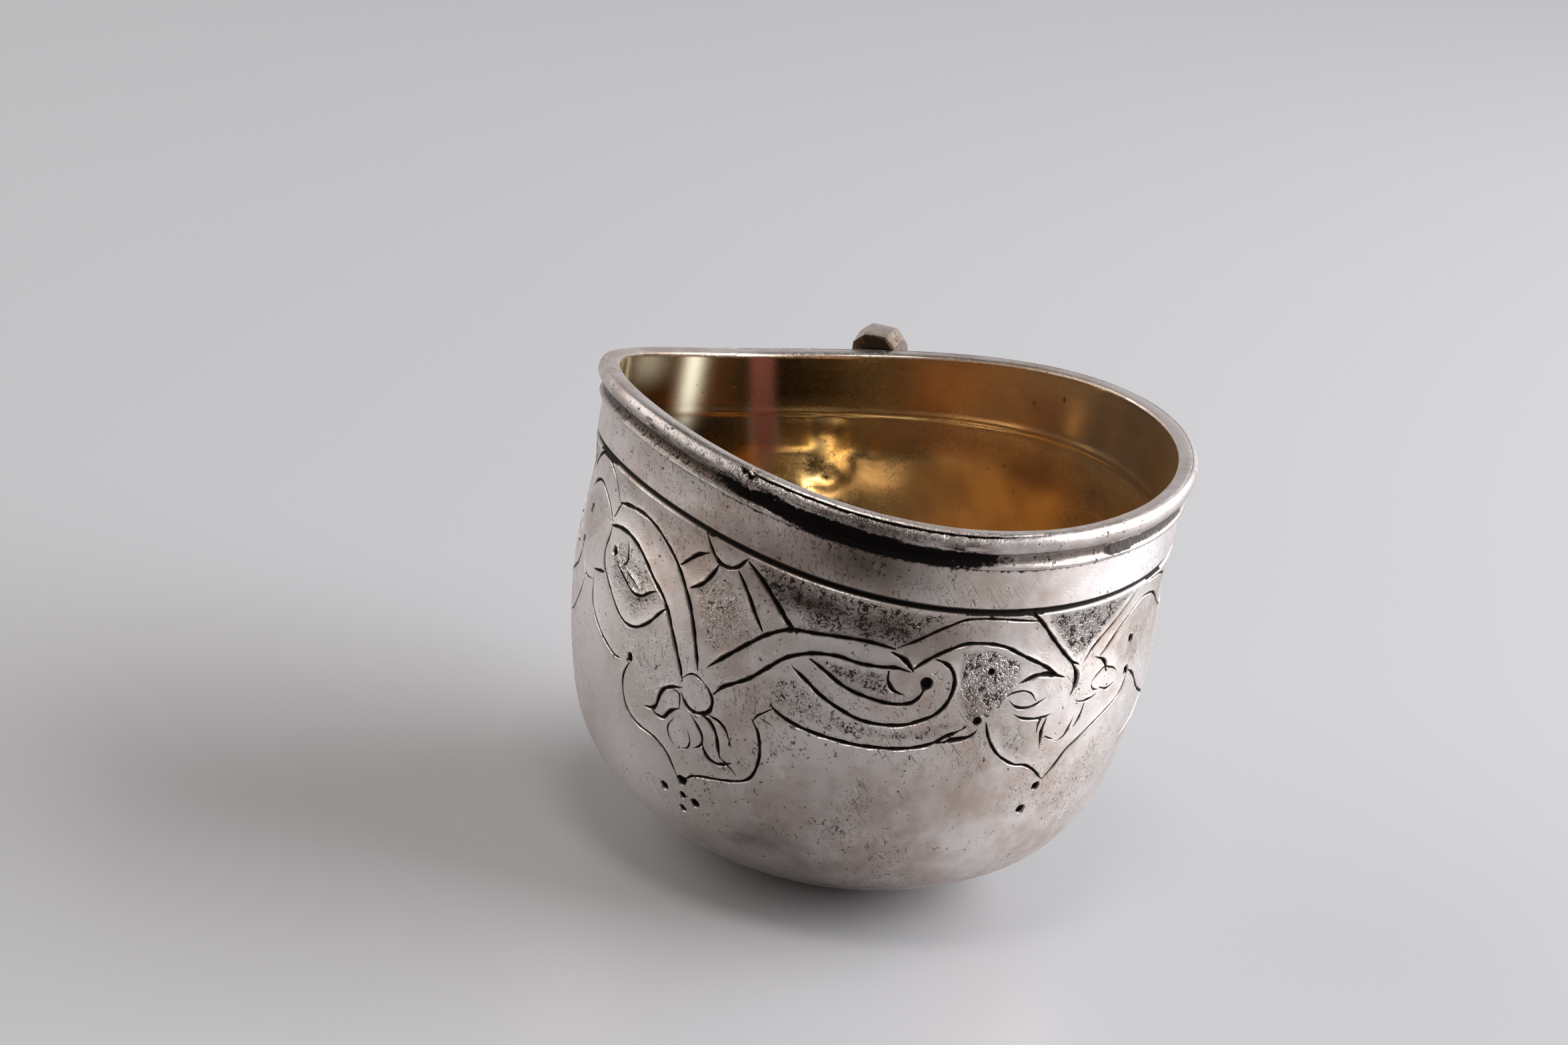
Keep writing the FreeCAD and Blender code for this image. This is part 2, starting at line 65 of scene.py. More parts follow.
WALL = 1.0

# The rim leans, waves and ripples round the mouth, and the crease below it does too
LEAN_ANGLE = -66.0
WAVE_ANGLE = 20.0
RIPPLE_ANGLE = -53.0
RIM_SWELL = (1.2, 2.1, 0.33)
CREASE_SWELL = (0.4, 1.95, 0.33)

# The moulded wire
WIRE_HEIGHT = 3.6
BEAD_RADIUS = 32.0
BEAD_HEIGHT = 1.6
BEAD_CROWN = 0.25
GROOVE_DEPTH = 0.5
EDGE_HEIGHT = 0.35
EDGE_RADIUS = 31.5
BUTT_ANGLE = 237.0
SEAM_END_ANGLE = 296.5

# How finely the meshes are cut
COLUMNS = 480
LIP_COLUMNS = 1440
SHARP_ANGLE = 32.0
BOWL_WELD = 0.012
WIRE_WELD = 0.004
HANDLE_WELD = 0.002
BACK_ANGLE = 90.0
FULL_TURN = 360.0

# The engraved panel: its top and foot, in millimetres below the crease
PANEL_TOP = -1.0
PANEL_FOOT = 33.0
MM_PER_DEGREE = math.radians(BELLY_RADIUS)


def swell(angle, amounts):
    """Height above or below the mean, in millimetres, at angles in degrees."""
    slant, wave, ripple = amounts
    lean = slant * np.cos(np.radians(angle - LEAN_ANGLE))
    saddle = wave * np.cos(2 * np.radians(angle - WAVE_ANGLE))
    lobes = ripple * np.cos(3 * np.radians(angle - RIPPLE_ANGLE))
    return lean + saddle + lobes


def waved_height(angle, height):
    """Where a mean height really lies: the wave fades out towards the base."""
    crease = swell(angle, CREASE_SWELL)
    rim = swell(angle, RIM_SWELL)
    below_share = np.clip((height - WALL) / (CREASE_HEIGHT - WALL), 0, 1) ** 2
    rise_share = (height - CREASE_HEIGHT) / (CUP_HEIGHT - CREASE_HEIGHT)
    above = (1 - rise_share) * crease + rise_share * rim
    return height + np.where(height < CREASE_HEIGHT, below_share * crease, above)


# The outline of the body as a fine line of points, from the base's edge up to the crease

def arc_points(centre, radius, start, end, steps=80):
    """Points along an arc between two angles in radians."""
    turn = np.linspace(start, end, steps)
    return np.stack([centre[0] + radius * np.cos(turn), centre[1] + radius * np.sin(turn)], 1)


def body_outline():
    """Radius and height along bottom, corner, side and flared neck."""
    side = np.array([BELLY_RADIUS - SIDE_ARC, BELLY_HEIGHT])
    corner_rise = CORNER_HEIGHT - side[1]
    joint = np.array([side[0] + math.sqrt(SIDE_ARC ** 2 - corner_rise ** 2), CORNER_HEIGHT])
    corner = joint + (side - joint) * CORNER_ARC / SIDE_ARC
    base_edge = np.array([BASE_RADIUS, 0.0])
    reach = corner - base_edge
    length = np.linalg.norm(reach)
    spacing = BOTTOM_ARC - CORNER_ARC
    along = (BOTTOM_ARC ** 2 - spacing ** 2 + length ** 2) / (2 * length)
    aside = math.sqrt(BOTTOM_ARC ** 2 - along ** 2)
    reach = reach / length
    bottom = base_edge + reach * along + np.array([-reach[1], reach[0]]) * aside

    foot_turn = math.atan2(-bottom[1], BASE_RADIUS - bottom[0])
    corner_turn = math.atan2(corner[1] - bottom[1], corner[0] - bottom[0])
    side_turn = math.atan2(joint[1] - side[1], joint[0] - side[0])
    waist_turn = math.asin((WAIST_HEIGHT - side[1]) / SIDE_ARC)
    waist = arc_points(side, SIDE_ARC, waist_turn, waist_turn, 1)[0]
    flare = np.linspace(0, 1, 40)[1:]
    neck = np.stack([
        waist[0] + (COLLAR_RADIUS - waist[0]) * flare ** 2,
        waist[1] + (COLLAR_FOOT - waist[1]) * flare,
    ], 1)
    return np.concatenate([
        arc_points(bottom, BOTTOM_ARC, foot_turn, corner_turn),
        arc_points(corner, CORNER_ARC, corner_turn, side_turn)[1:],
        arc_points(side, SIDE_ARC, side_turn, waist_turn)[1:],
        neck,
        [[COLLAR_RADIUS, CREASE_HEIGHT]],
    ])


OUTLINE = body_outline()
STEPS = np.linalg.norm(np.diff(OUTLINE, axis=0), axis=1)
FROM_BASE = np.concatenate([[0], np.cumsum(STEPS)])
BODY_LENGTH = FROM_BASE[-1]


# How far apart the outline is probed for its slope, and the least rise that counts
PROBE = 0.2
LEAST_RISE = 1e-6


def outline_at(along):
    """Radius and height of the outline, a distance along it from the base."""
    return [np.interp(along, FROM_BASE, OUTLINE[:, axis]) for axis in (0, 1)]


def wall_place(drop):
    """Radius, height and outward direction of the wall, a distance below the crease."""
    drop = np.asarray(drop, float)
    along = BODY_LENGTH - drop
    radius, height = outline_at(along)
    before, after = outline_at(along - PROBE), outline_at(along + PROBE)
    rise = np.where(drop < 0, 1, np.maximum(after[1] - before[1], LEAST_RISE))
    spread = np.where(drop < 0, 0, after[0] - before[0])
    size = np.hypot(rise, spread)
    return radius, height - np.minimum(drop, 0), rise / size, -spread / size


def on_wall(angle, drop, lift=0.0):
    """Points on the outside of the wall, lifted off it by some millimetres."""
    radius, height, out, up = wall_place(drop)
    turn = np.radians(angle)
    radius = radius + lift * out
    height = waved_height(angle, height) + lift * up
    return np.stack([radius * np.cos(turn), radius * np.sin(turn), height], -1)


def on_ring(angle, radius, height):
    """Points at a radius, whose mean height swells with the rim."""
    turn = np.radians(angle)
    height = waved_height(angle, height) + 0 * radius
    return np.stack([radius * np.cos(turn), radius * np.sin(turn), height], -1)


def rough(points, size, seed):
    """Smooth noise between about -1 and 1 at each point, with swells of that size."""
    offset = Vector((seed, 2.7 * seed, -1.3 * seed))
    return np.array([noise.noise(Vector(point) / size + offset) for point in points])


def at_angle_band(angle, start, end, soft):
    """1 between two angles, fading to 0 over a few degrees beyond them."""
    return np.clip((angle - start) / soft + 1, 0, 1) * np.clip((end - angle) / soft + 1, 0, 1)


# The engraving, read from the photograph: each stroke is a width in millimetres and the
# points that the graver passed, as degrees round the cup and millimetres below the crease

Stroke = namedtuple("Stroke", "width points")
Drill = namedtuple("Drill", "radius angle drop")

# Widths of a stroke
FINE = 0.29
PLAIN = 0.44
BOLD = 0.57
HEAVY = 0.76

LEFT_ARCH = [
    Stroke(PLAIN, [(185, 4.8), (188, 3.9), (192, 3.3), (196, 3.7), (199, 4.6), (201.5, 5.6)]),
    Stroke(PLAIN, [(184, 3), (190, 0.9), (194, 0.3), (198, 0.6), (201, 1.7), (203, 3.2)]),
]
LEFT_BAND = [
    Stroke(PLAIN, [(204, 3.3), (203.4, 3.8), (201.8, 5.1)]),
    Stroke(BOLD, [
        (203.5, 3.4), (208, 2.85), (213, 2.6), (217, 3.0), (220, 3.7), (223, 4.7),
        (226, 6.1), (229, 8.1), (231, 10.2), (232.4, 12.3), (233.4, 14.0),
    ]),
    Stroke(BOLD, [
        (201.8, 6.0), (205, 5.6), (209, 5.5), (213, 6.0), (216, 6.8), (219, 7.8),
        (222, 8.7), (224, 9.7), (226, 11.3), (228, 13.2), (229.5, 14.8), (230.2, 15.8),
    ]),
    Stroke(PLAIN, [
        (202, 6.0), (202, 7.2), (201.5, 8.2), (201.8, 9.2), (203, 10.2), (205, 11.0),
        (208, 12.2), (211, 13.2), (214, 13.6), (217, 13.2), (220, 12.0), (222, 10.7),
        (223.8, 9.7),
    ]),
    Drill(0.55, 205.3, 7.9),
    Stroke(PLAIN, [
        (206.3, 8.4), (208, 9.0), (211, 9.7), (214, 10.3), (216.5, 10.1), (218.5, 9.3),
        (220, 8.8),
    ]),
    Stroke(PLAIN, [(209.3, 6.2), (210.2, 7.2), (210.3, 8.0), (209.3, 8.5)]),
    Stroke(FINE, [(209.5, 8.5), (212, 9.0), (214, 9.3), (216, 9.7)]),
    Stroke(BOLD, [(198.5, 11.2), (200, 11.0), (203, 10.6)]),
    Stroke(PLAIN, [
        (199, 12), (200, 14), (202, 15.2), (205, 16.3), (208, 17.0), (211, 17.5), (213, 17.4),
    ]),
    Stroke(FINE, [(198, 12.3), (195, 12.5), (192, 11.8)]),
    Drill(0.55, 216, 16.6),
    Stroke(PLAIN, [
        (216, 17.2), (214.6, 18.6), (214.3, 20), (215.3, 21.7), (217.5, 22.8), (220, 23.3),
        (223, 23.5), (225, 23.8), (227.5, 24.6), (229.5, 26.2), (230.3, 27.0),
    ]),
    Stroke(FINE, [(184, 18.3), (188, 17.2), (192, 15), (194, 13)]),
]
FOLDED_TIP = [
    Stroke(BOLD, [
        (230.3, 0.5), (231, 1.2), (232.5, 2.2), (234.5, 2.7), (236.5, 2.5), (238, 1.9),
        (239, 1.1), (239.5, 0.8),
    ]),
    Stroke(HEAVY, [(239.8, 1.0), (243, 2.3), (246, 3.8), (249, 5.4), (251.3, 6.2)]),
    Stroke(BOLD, [(237.8, 2.4), (240, 3.9), (242.5, 5.8), (244.8, 7.3)]),
    Stroke(BOLD, [(231, 2.2), (228.5, 3.0), (226.5, 4.0), (224.8, 4.9)]),
    Stroke(BOLD, [(233.6, 2.8), (232.3, 4.2), (230.5, 5.6), (228.2, 6.5)]),
]
SCROLL_BAND = [
    Stroke(BOLD, [
        (235.6, 13.1), (239, 11.2), (243, 9.0), (246, 7.5), (250, 6.2), (255, 5.7),
        (260, 5.3), (265, 5.1), (270, 5.3),
    ]),
    Stroke(HEAVY, [(269.5, 5.7), (271.5, 6.1), (273, 6.7), (274, 7.4)]),
    Stroke(BOLD, [
        (237.5, 15.8), (239, 14.7), (241, 13.9), (244, 12.7), (247, 11.0), (250, 9.3),
        (253, 8.3), (256, 7.7), (260, 7.4), (264, 7.6), (268, 7.5), (271, 7.3), (273.5, 7.5),
    ]),
    Stroke(BOLD, [
        (255, 8.5), (258, 9.3), (261, 10.2), (264, 10.8), (267, 11.1), (270, 11.3),
        (273, 11.2), (275, 10.8), (276.3, 9.9), (276.6, 9.1),
    ]),
    Drill(0.72, 277, 8.5),
    Stroke(BOLD, [
        (252, 9.9), (255, 10.9), (258, 12.0), (262, 13.0), (266, 13.7), (270, 13.8),
        (274, 13.5), (277, 12.8), (279.5, 12.0), (281.3, 10.8), (282.2, 9.3), (282.3, 7.9),
        (281.3, 6.7), (279.8, 6.1), (278, 5.8),
    ]),
    Stroke(BOLD, [
        (249.3, 14.7), (251, 15.3), (254, 15.9), (258, 16.3), (262, 16.5), (266, 16.6),
        (270, 16.5), (274, 16.3), (278, 15.8), (280.5, 15.2), (282.5, 14.4), (285.5, 13.5),
    ]),
    Stroke(HEAVY, [(281.5, 15.2), (284, 14.8), (287, 14.4), (288.3, 13.8)]),
    Stroke(BOLD, [(269.6, 7.9), (269.7, 8.8), (271, 9.8), (273, 10.1)]),
    Stroke(PLAIN, [(246.2, 16.9), (247, 16.2), (248.7, 15.4)]),
    Stroke(FINE, [(247.8, 16.4), (250, 16.8)]),
    Stroke(FINE, [(248.5, 15.4), (249.8, 14.9)]),
]
PENDANT = [
    Stroke(PLAIN, [
        (246, 16.9), (247.4, 18), (248.2, 19.5), (248.4, 21), (247.8, 22.8), (246.5, 24),
        (244, 24.7), (240, 25.3), (236.5, 25.7), (234, 26.2), (232.3, 27.0),
    ]),
    Drill(0.72, 231.5, 27.3),
    Drill(0.68, 226.4, 29.1),
    Drill(0.55, 231.5, 29.2),
    Drill(0.72, 234.5, 29.7),
    Drill(0.6, 230.8, 31.3),
    Stroke(BOLD, [
        (236, 15.3), (237.4, 16.5), (237, 17.8), (235.5, 18.4), (233.5, 18.6),
        (231.8, 18.2), (230.5, 17.3),
    ]),
    Stroke(FINE, [(230.2, 15.6), (231.5, 14.9), (233, 14.6), (234.6, 14.9), (236, 15.4)]),
    Stroke(BOLD, [
        (230, 16.7), (228, 17.1), (226, 17.8), (225, 18.8), (224.4, 20), (223.3, 20.5),
        (221.5, 20.7),
    ]),
    Stroke(PLAIN, [(228.5, 17.3), (230, 17.4), (230.3, 18.7)]),
    Stroke(BOLD, [
        (230.2, 19.0), (228.5, 19.6), (227.3, 20.3), (226.5, 20.9), (224.5, 20.9),
        (223.8, 20.7),
    ]),
    Stroke(PLAIN, [(233.3, 19.1), (234.8, 19.9), (236, 20.8), (236, 21.9), (234.5, 22.6)]),
    Stroke(FINE, [(232.7, 21), (233.4, 22), (232.8, 23), (231.3, 23.3)]),
    Stroke(FINE, [(229, 20.4), (227.8, 21.5), (228.2, 22.5), (229.5, 23.3)]),
    Stroke(BOLD, [(235.5, 18.5), (237.5, 18.9), (239, 20), (239.7, 21.5), (240.3, 22.6)]),
    Stroke(PLAIN, [(236.5, 18.2), (239, 18.4), (240.8, 19.0), (242, 20.2)]),
    Stroke(BOLD, [(236.2, 21.7), (237.2, 22.9), (239.5, 23.4), (241.5, 23.1), (242.7, 22.7)]),
    Stroke(PLAIN, [(240.5, 22.5), (243.5, 23.6)]),
]
RIGHT_ARCH = [
    Stroke(PLAIN, [
        (270.8, 5.0), (273, 4.3), (275.5, 3.3), (277.5, 2.5), (279.5, 1.8), (282, 1.0),
        (285, 0.7), (289, 0.7), (293, 0.9), (296, 1.1), (297.5, 1.2),
    ]),
    Stroke(BOLD, [
        (293, -0.3), (296, 0.3), (298, 1.2), (300, 2.3), (302, 3.5), (304, 4.6),
        (306, 5.7), (308, 6.7), (309.8, 7.1),
    ]),
    Stroke(HEAVY, [(308.2, 7.0), (309.5, 8.0), (309.8, 9), (309, 10.3)]),
    Stroke(BOLD, [
        (274, 7.2), (276, 6.2), (278, 5.4), (280.5, 4.6), (283, 3.9), (286, 3.7),
        (289, 3.8), (292, 4.2), (295, 5.0), (298, 5.8), (301, 6.6), (304, 7.6),
    ]),
    Stroke(HEAVY, [(296, 8.3), (298, 7.9), (300, 7.6), (303, 7.7), (306, 8.2)]),
    Stroke(FINE, [(293, 10.0), (294.5, 9.4), (297, 9.2), (299, 9.6), (300.2, 10.4)]),
    Stroke(PLAIN, [
        (294.6, 10.4), (296, 11.0), (298, 11.2), (300, 11.0), (301.5, 10.6), (302.2, 10.4),
    ]),
    Stroke(PLAIN, [(296, 11.9), (298, 12.4), (301, 12.6), (303, 12.5), (304.6, 12.3)]),
    Stroke(PLAIN, [(302.6, 12.4), (302, 13.2), (302, 14.2)]),
    Stroke(BOLD, [(303.7, 12.8), (303.2, 14), (303.5, 15.6)]),
    Stroke(PLAIN, [(304.5, 14.9), (306, 15.3), (306.7, 15.4)]),
    Stroke(PLAIN, [(308, 15.7), (309.5, 15.2), (310.2, 14.4), (310.8, 13.6)]),
    Stroke(PLAIN, [(311, 11.4), (312.5, 11.6), (315, 11.5), (316.5, 11.2)]),
    Stroke(PLAIN, [(313.3, 11.8), (313, 12.8), (312.4, 13.7), (311.6, 14.4)]),
    Stroke(PLAIN, [
        (290.2, 12.7), (291, 14), (292.2, 15.2), (294, 16.4), (296, 17.2), (298.5, 17.9),
        (301, 18.1), (303, 18.6), (304.8, 19.3), (306.2, 20), (306.8, 20.2),
    ]),
    Stroke(PLAIN, [
        (307.3, 20.1), (309, 18.9), (311, 17.2), (313, 16.4), (316, 15.3), (319, 14.4),
        (322, 13.6), (325, 12.7), (326.5, 11.8), (327.2, 10.8), (327.4, 10.2),
    ]),
    Drill(0.45, 289.5, 6.9),
    Drill(0.55, 288.3, 12.5),
    Drill(0.6, 306, 21.1),
    Drill(0.65, 304.4, 24.0),
    Drill(0.5, 327.2, 6.6),
    Drill(0.55, 326.8, 10.0),
    Stroke(PLAIN, [
        (311.5, 6.9), (313, 5.9), (315, 5.1), (318, 4.0), (321, 2.8), (323.5, 1.6),
        (325, 0.7),
    ]),
    Stroke(BOLD, [(315.2, 7.0), (317, 7.4), (318.2, 8.0), (318.6, 8.8), (319, 9.0)]),
    Stroke(FINE, [(314.4, 9.6), (316, 8.9), (318, 8.4), (320, 8.7), (321.5, 9.0), (322.8, 9.5)]),
    Stroke(PLAIN, [(314.6, 10.1), (315.5, 10.6), (317, 10.8)]),
    Stroke(BOLD, [(318.3, 10.8), (320, 11.1), (322.3, 10.8)]),
]
RIGHT_BAND = [
    Stroke(PLAIN, [
        (316, 6.9), (318, 6.2), (321, 5.0), (324, 3.9), (326.5, 3.0), (329, 2.4),
        (332, 2.5), (336, 3.1), (339, 4.0), (342, 5.1), (345, 6.2), (349, 6.6), (352, 6.1),
    ]),
    Stroke(PLAIN, [
        (329, 0.6), (333, 0.7), (337, 1.1), (341, 1.9), (345, 2.9), (349, 3.6), (353, 3.5),
    ]),
    Stroke(PLAIN, [(328, 10.2), (331, 11.2), (334, 12.8), (337, 14), (341, 15), (345, 16)]),
]

# Round the back the same motifs come again: the right half a part turn earlier, and the
# left half a part turn later. Under the handle the ground is left plain.
EARLIER = -138.0
LATER = 150.0

# Grounds between the straps that were punched or have worn matt: corners in degrees and
# millimetres below the crease, and how deep the matting is
Ground = namedtuple("Ground", "strength corners")
FRONT_GROUNDS = [
    Ground(0.35, [(204, 0.6), (229, 0.7), (224, 4.2), (214, 2.2), (205, 2.7)]),
    Ground(0.55, [(204, 6.6), (209, 6.2), (218, 8.2), (222, 9.6), (216, 12.6), (206, 10.6)]),
    Ground(0.3, [(222, 11.8), (227, 13.4), (229, 16), (224, 18.4), (217, 16.2), (216, 14)]),
    Ground(0.5, [(231, 3.6), (236, 3.2), (243, 7.4), (236, 12), (233.4, 10.5), (229, 6.6)]),
    Ground(1.0, [(241, 0.6), (279, 0.7), (272, 4.4), (262, 4.8), (253, 5.4), (246, 3.2)]),
]
SCROLL_GROUNDS = [
    Ground(0.85, [(256, 8.2), (269, 8.1), (270.5, 10.6), (262, 9.9)]),
    Ground(0.6, [(247, 12.6), (252, 10.6), (262, 13.6), (272, 14.3), (281, 12.8),
                 (285, 12.8), (279, 15.2), (262, 16), (251, 14.8)]),
    Ground(0.75, [(283, 4.6), (289, 4.3), (296, 6), (295, 9), (291, 12), (286, 12.6),
                  (283.4, 9.5)]),
]
ARCH_GROUNDS = [
    Ground(0.8, [(300, 0.6), (323, 0.7), (312, 5.6), (308.5, 6.2), (303, 3)]),
    Ground(0.5, [(292, 12.5), (299, 13.2), (301, 16.8), (295, 16)]),
    Ground(0.4, [(320, 6.6), (327, 4.2), (338, 5.2), (330, 9.8), (323, 8.6)]),
]


def moved(motifs, shift):
    """The same strokes, drilled points or grounds, turned round the cup."""
    turned = []
    for motif in motifs:
        if isinstance(motif, Drill):
            turned.append(motif._replace(angle=motif.angle + shift))
        elif isinstance(motif, Stroke):
            points = [(angle + shift, drop) for angle, drop in motif.points]
            turned.append(motif._replace(points=points))
        else:
            corners = [(angle + shift, drop) for angle, drop in motif.corners]
            turned.append(motif._replace(corners=corners))
    return turned


ENGRAVING = (
    LEFT_ARCH + LEFT_BAND + FOLDED_TIP + SCROLL_BAND + PENDANT + RIGHT_ARCH + RIGHT_BAND
    + moved(SCROLL_BAND + RIGHT_ARCH, EARLIER)
    + moved(LEFT_BAND + FOLDED_TIP + SCROLL_BAND + PENDANT, LATER)
)
GROUNDS = (
    FRONT_GROUNDS + SCROLL_GROUNDS + ARCH_GROUNDS
    + moved(SCROLL_GROUNDS + ARCH_GROUNDS, EARLIER)
    + moved(FRONT_GROUNDS + SCROLL_GROUNDS, LATER)
)

# How a stroke is cut
STROKE_STEP = 0.4
CUT_SLOPE = 0.55
BURR_WIDTH = 0.3
BURR_HEIGHT = 0.045
TAPER_LENGTH = 1.3
TAPER_START = 0.35
DRILL_DEPTH_SHARE = 1.1
DRILL_POINTS = 10
BLACK_DEPTH = 0.1

# The graver rocks as it goes: share of the width, and waves per millimetre times 2 pi
ROCKING = [(0.13, 2.3), (0.08, 5.1)]

# How the ground between the strokes is worked
GROUND_STEP = 0.36
GROUND_SHAKE = 0.22
GROUND_FADE = 0.9
GROUND_DEPTH = 0.05
PIT_DEPTH = 0.13
WORKED_STRENGTH = 0.1
PLAIN_STEP = 0.66
CLEARANCE = 0.26

# Under this depth a place counts as uncut, and under this height as without a burr
UNCUT = 0.004
NO_BURR = 0.01

# Points of the net that come closer than this are one
NET_TOLERANCE = 0.01

# The black in the crease: its strength away from the front, and where the front is
CREASE_BLACK = 0.75
CREASE_FRONT = (243.0, 300.0, 14.0)


def flat(points):
    """Degrees and drops as millimetres on the unrolled wall."""
    points = np.asarray(points, float)
    return np.stack([(points[:, 0] - BACK_ANGLE) * MM_PER_DEGREE, -points[:, 1]], 1)


def smooth_line(points, step):
    """Evenly spaced points on a smooth curve through a few given ones."""
    if len(points) > 2:
        ends = [2 * points[0] - points[1], 2 * points[-1] - points[-2]]
        padded = np.concatenate([ends[:1], points, ends[1:]])
        share = np.linspace(0, 1, 12, endpoint=False)[:, None]
        pieces = []
        for before, start, end, after in zip(padded, padded[1:], padded[2:], padded[3:]):
            pieces.append(0.5 * (
                2 * start + (end - before) * share
                + (2 * before - 5 * start + 4 * end - after) * share ** 2
                + (3 * start - before - 3 * end + after) * share ** 3
            ))
        points = np.concatenate(pieces + [points[-1:]])
    along = np.concatenate([[0], np.cumsum(np.linalg.norm(np.diff(points, axis=0), axis=1))])
    count = max(2, round(along[-1] / step) + 1)
    places = np.linspace(0, along[-1], count)
    return np.stack([np.interp(places, along, points[:, axis]) for axis in (0, 1)], 1)


def taper(along, length):
    """Share of its full width that a stroke has: the graver enters and leaves shallow."""
    from_end = np.minimum(along, length - along)
    rocking = 1
    for index, (share, pace) in enumerate(ROCKING, 1):
        rocking = rocking + share * np.sin(pace * along + index * length)
    return np.clip(TAPER_START + (1 - TAPER_START) * from_end / TAPER_LENGTH, 0, 1) * rocking


class Line:
    """One stroke laid out on the unrolled wall."""

    def __init__(self, stroke):
        self.half = stroke.width / 2
        self.points = smooth_line(flat(stroke.points), STROKE_STEP)
        steps = np.linalg.norm(np.diff(self.points, axis=0), axis=1)
        self.along = np.concatenate([[0], np.cumsum(steps)])
        self.length = self.along[-1]

    def sides(self, offset):
        """The points moved aside; offset is one number or one for each point."""
        run = np.gradient(self.points, axis=0)
        run /= np.linalg.norm(run, axis=1)[:, None]
        return self.points + np.stack([-run[:, 1], run[:, 0]], 1) * np.reshape(offset, (-1, 1))

    def measure(self, places):
        """Distance of each place from the stroke, and how far along it the nearest point is."""
        start, end = self.points[:-1], self.points[1:]
        run = end - start
        span = (run ** 2).sum(1)
        offset = places[:, None, :] - start[None]
        share = np.clip((offset * run[None]).sum(2) / span[None], 0, 1)
        gap = np.linalg.norm(offset - share[..., None] * run[None], axis=2)
        nearest = gap.argmin(1)
        rows = np.arange(len(places))
        along = self.along[nearest] + share[rows, nearest] * np.sqrt(span[nearest])
        return gap[rows, nearest], along


def inside(places, corners):
    """Which places lie inside an outline with these corners."""
    hit = np.zeros(len(places), bool)
    for (x0, y0), (x1, y1) in zip(corners, np.roll(corners, -1, axis=0)):
        if y0 == y1:
            continue
        spans = (y0 > places[:, 1]) != (y1 > places[:, 1])
        hit ^= spans & (places[:, 0] < (x1 - x0) * (places[:, 1] - y0) / (y1 - y0) + x0)
    return hit


def edge_gap(places, corners):
    """Distance of each place from an outline."""
    gap = np.full(len(places), np.inf)
    for start, end in zip(corners, np.roll(corners, -1, axis=0)):
        run = end - start
        share = np.clip(((places - start) @ run) / (run @ run), 0, 1)
        gap = np.minimum(gap, np.linalg.norm(places - start - share[:, None] * run, axis=1))
    return gap


def matting(places):
    """How strongly the ground is matted at each place, fading out at its edges."""
    strength = np.zeros(len(places))
    for ground in GROUNDS:
        corners = flat(ground.corners)
        low, high = corners.min(0) - GROUND_FADE, corners.max(0) + GROUND_FADE
        near = np.flatnonzero(((places > low) & (places < high)).all(1))
        if len(near) == 0:
            continue
        gap = edge_gap(places[near], corners)
        signed = np.where(inside(places[near], corners), gap, -gap)
        amount = ground.strength * np.clip(0.5 + signed / GROUND_FADE, 0, 1)
        strength[near] = np.maximum(strength[near], amount)
    return strength


def hex_grid(width, top, foot, step):
    """Points in offset rows, a step apart, inside a rectangle."""
    rows = []
    row_step = step * math.sqrt(3) / 2
    for index, level in enumerate(np.arange(foot + row_step, top - row_step / 2, row_step)):
        across = np.arange(step * (1 + index % 2 / 2), width - step / 2, step)
        rows.append(np.stack([across, np.full(len(across), level)], 1))
    return np.concatenate(rows)


def keep_clear(points, taken, gap):
    """Leave out the points that lie close to ones already taken."""
    tree = KDTree(len(taken))
    for index, (x, y) in enumerate(taken):
        tree.insert((x, y, 0), index)
    tree.balance()
    return np.array([point for point in points if tree.find((*point, 0))[2] > gap])


def panel_net(lines, drills):
    """Points and edges of the net: its frame, every cut, and the wall filled in between."""
    width = FULL_TURN * MM_PER_DEGREE
    points, edges = [], []

    def add_chain(chain, closed=False):
        """Points that follow one another, with an edge from each to the next."""
        start = sum(len(item) for item in points)
        points.append(chain)
        edges.extend((start + i, start + i + 1) for i in range(len(chain) - 1))
        if closed:
            edges.append((start + len(chain) - 1, start))

    columns = np.linspace(0, width, COLUMNS + 1)
    top, foot = -PANEL_TOP, -PANEL_FOOT
    for level in (top, CREASE_WIDTH / 2, 0, -CREASE_WIDTH / 2, foot):
        add_chain(np.stack([columns, np.full(COLUMNS + 1, level)], 1))
    side_levels = np.arange(foot + PLAIN_STEP, -CREASE_WIDTH / 2 - PLAIN_STEP / 2, PLAIN_STEP)
    for edge in (0, width):
        add_chain(np.stack([np.full(len(side_levels), edge), side_levels], 1))
    for line in lines:
        half = line.half * taper(line.along, line.length)
        add_chain(line.points)
        add_chain(line.sides(half))
        add_chain(line.sides(-half))
        for side in (1, -1):
            points.append(line.sides(side * (half + BURR_WIDTH)))
    ring_turns = np.linspace(0, 2 * math.pi, DRILL_POINTS, endpoint=False)
    ring = np.stack([np.cos(ring_turns), np.sin(ring_turns)], 1)
    for drill in drills:
        centre = flat([(drill.angle, drill.drop)])[0]
        add_chain(centre + ring * drill.radius, closed=True)
        points.append(centre + ring * drill.radius * 0.6)
        points.append(centre[None])
        points.append(centre + ring * (drill.radius + BURR_WIDTH))

    taken = np.concatenate(points)
    plain = keep_clear(hex_grid(width, top, foot, PLAIN_STEP), taken, PLAIN_STEP / 2)
    plain = plain[matting(plain) < WORKED_STRENGTH]
    fine = hex_grid(width, -CREASE_WIDTH / 2, foot, GROUND_STEP)
    fine = fine[matting(fine) >= WORKED_STRENGTH]
    fine = keep_clear(fine, taken, CLEARANCE)
    shake = np.random.default_rng(5).uniform(-1, 1, fine.shape) * GROUND_STEP * GROUND_SHAKE
    points += [plain, fine + shake]
    return np.clip(np.concatenate(points), (0, foot), (width, top)), edges


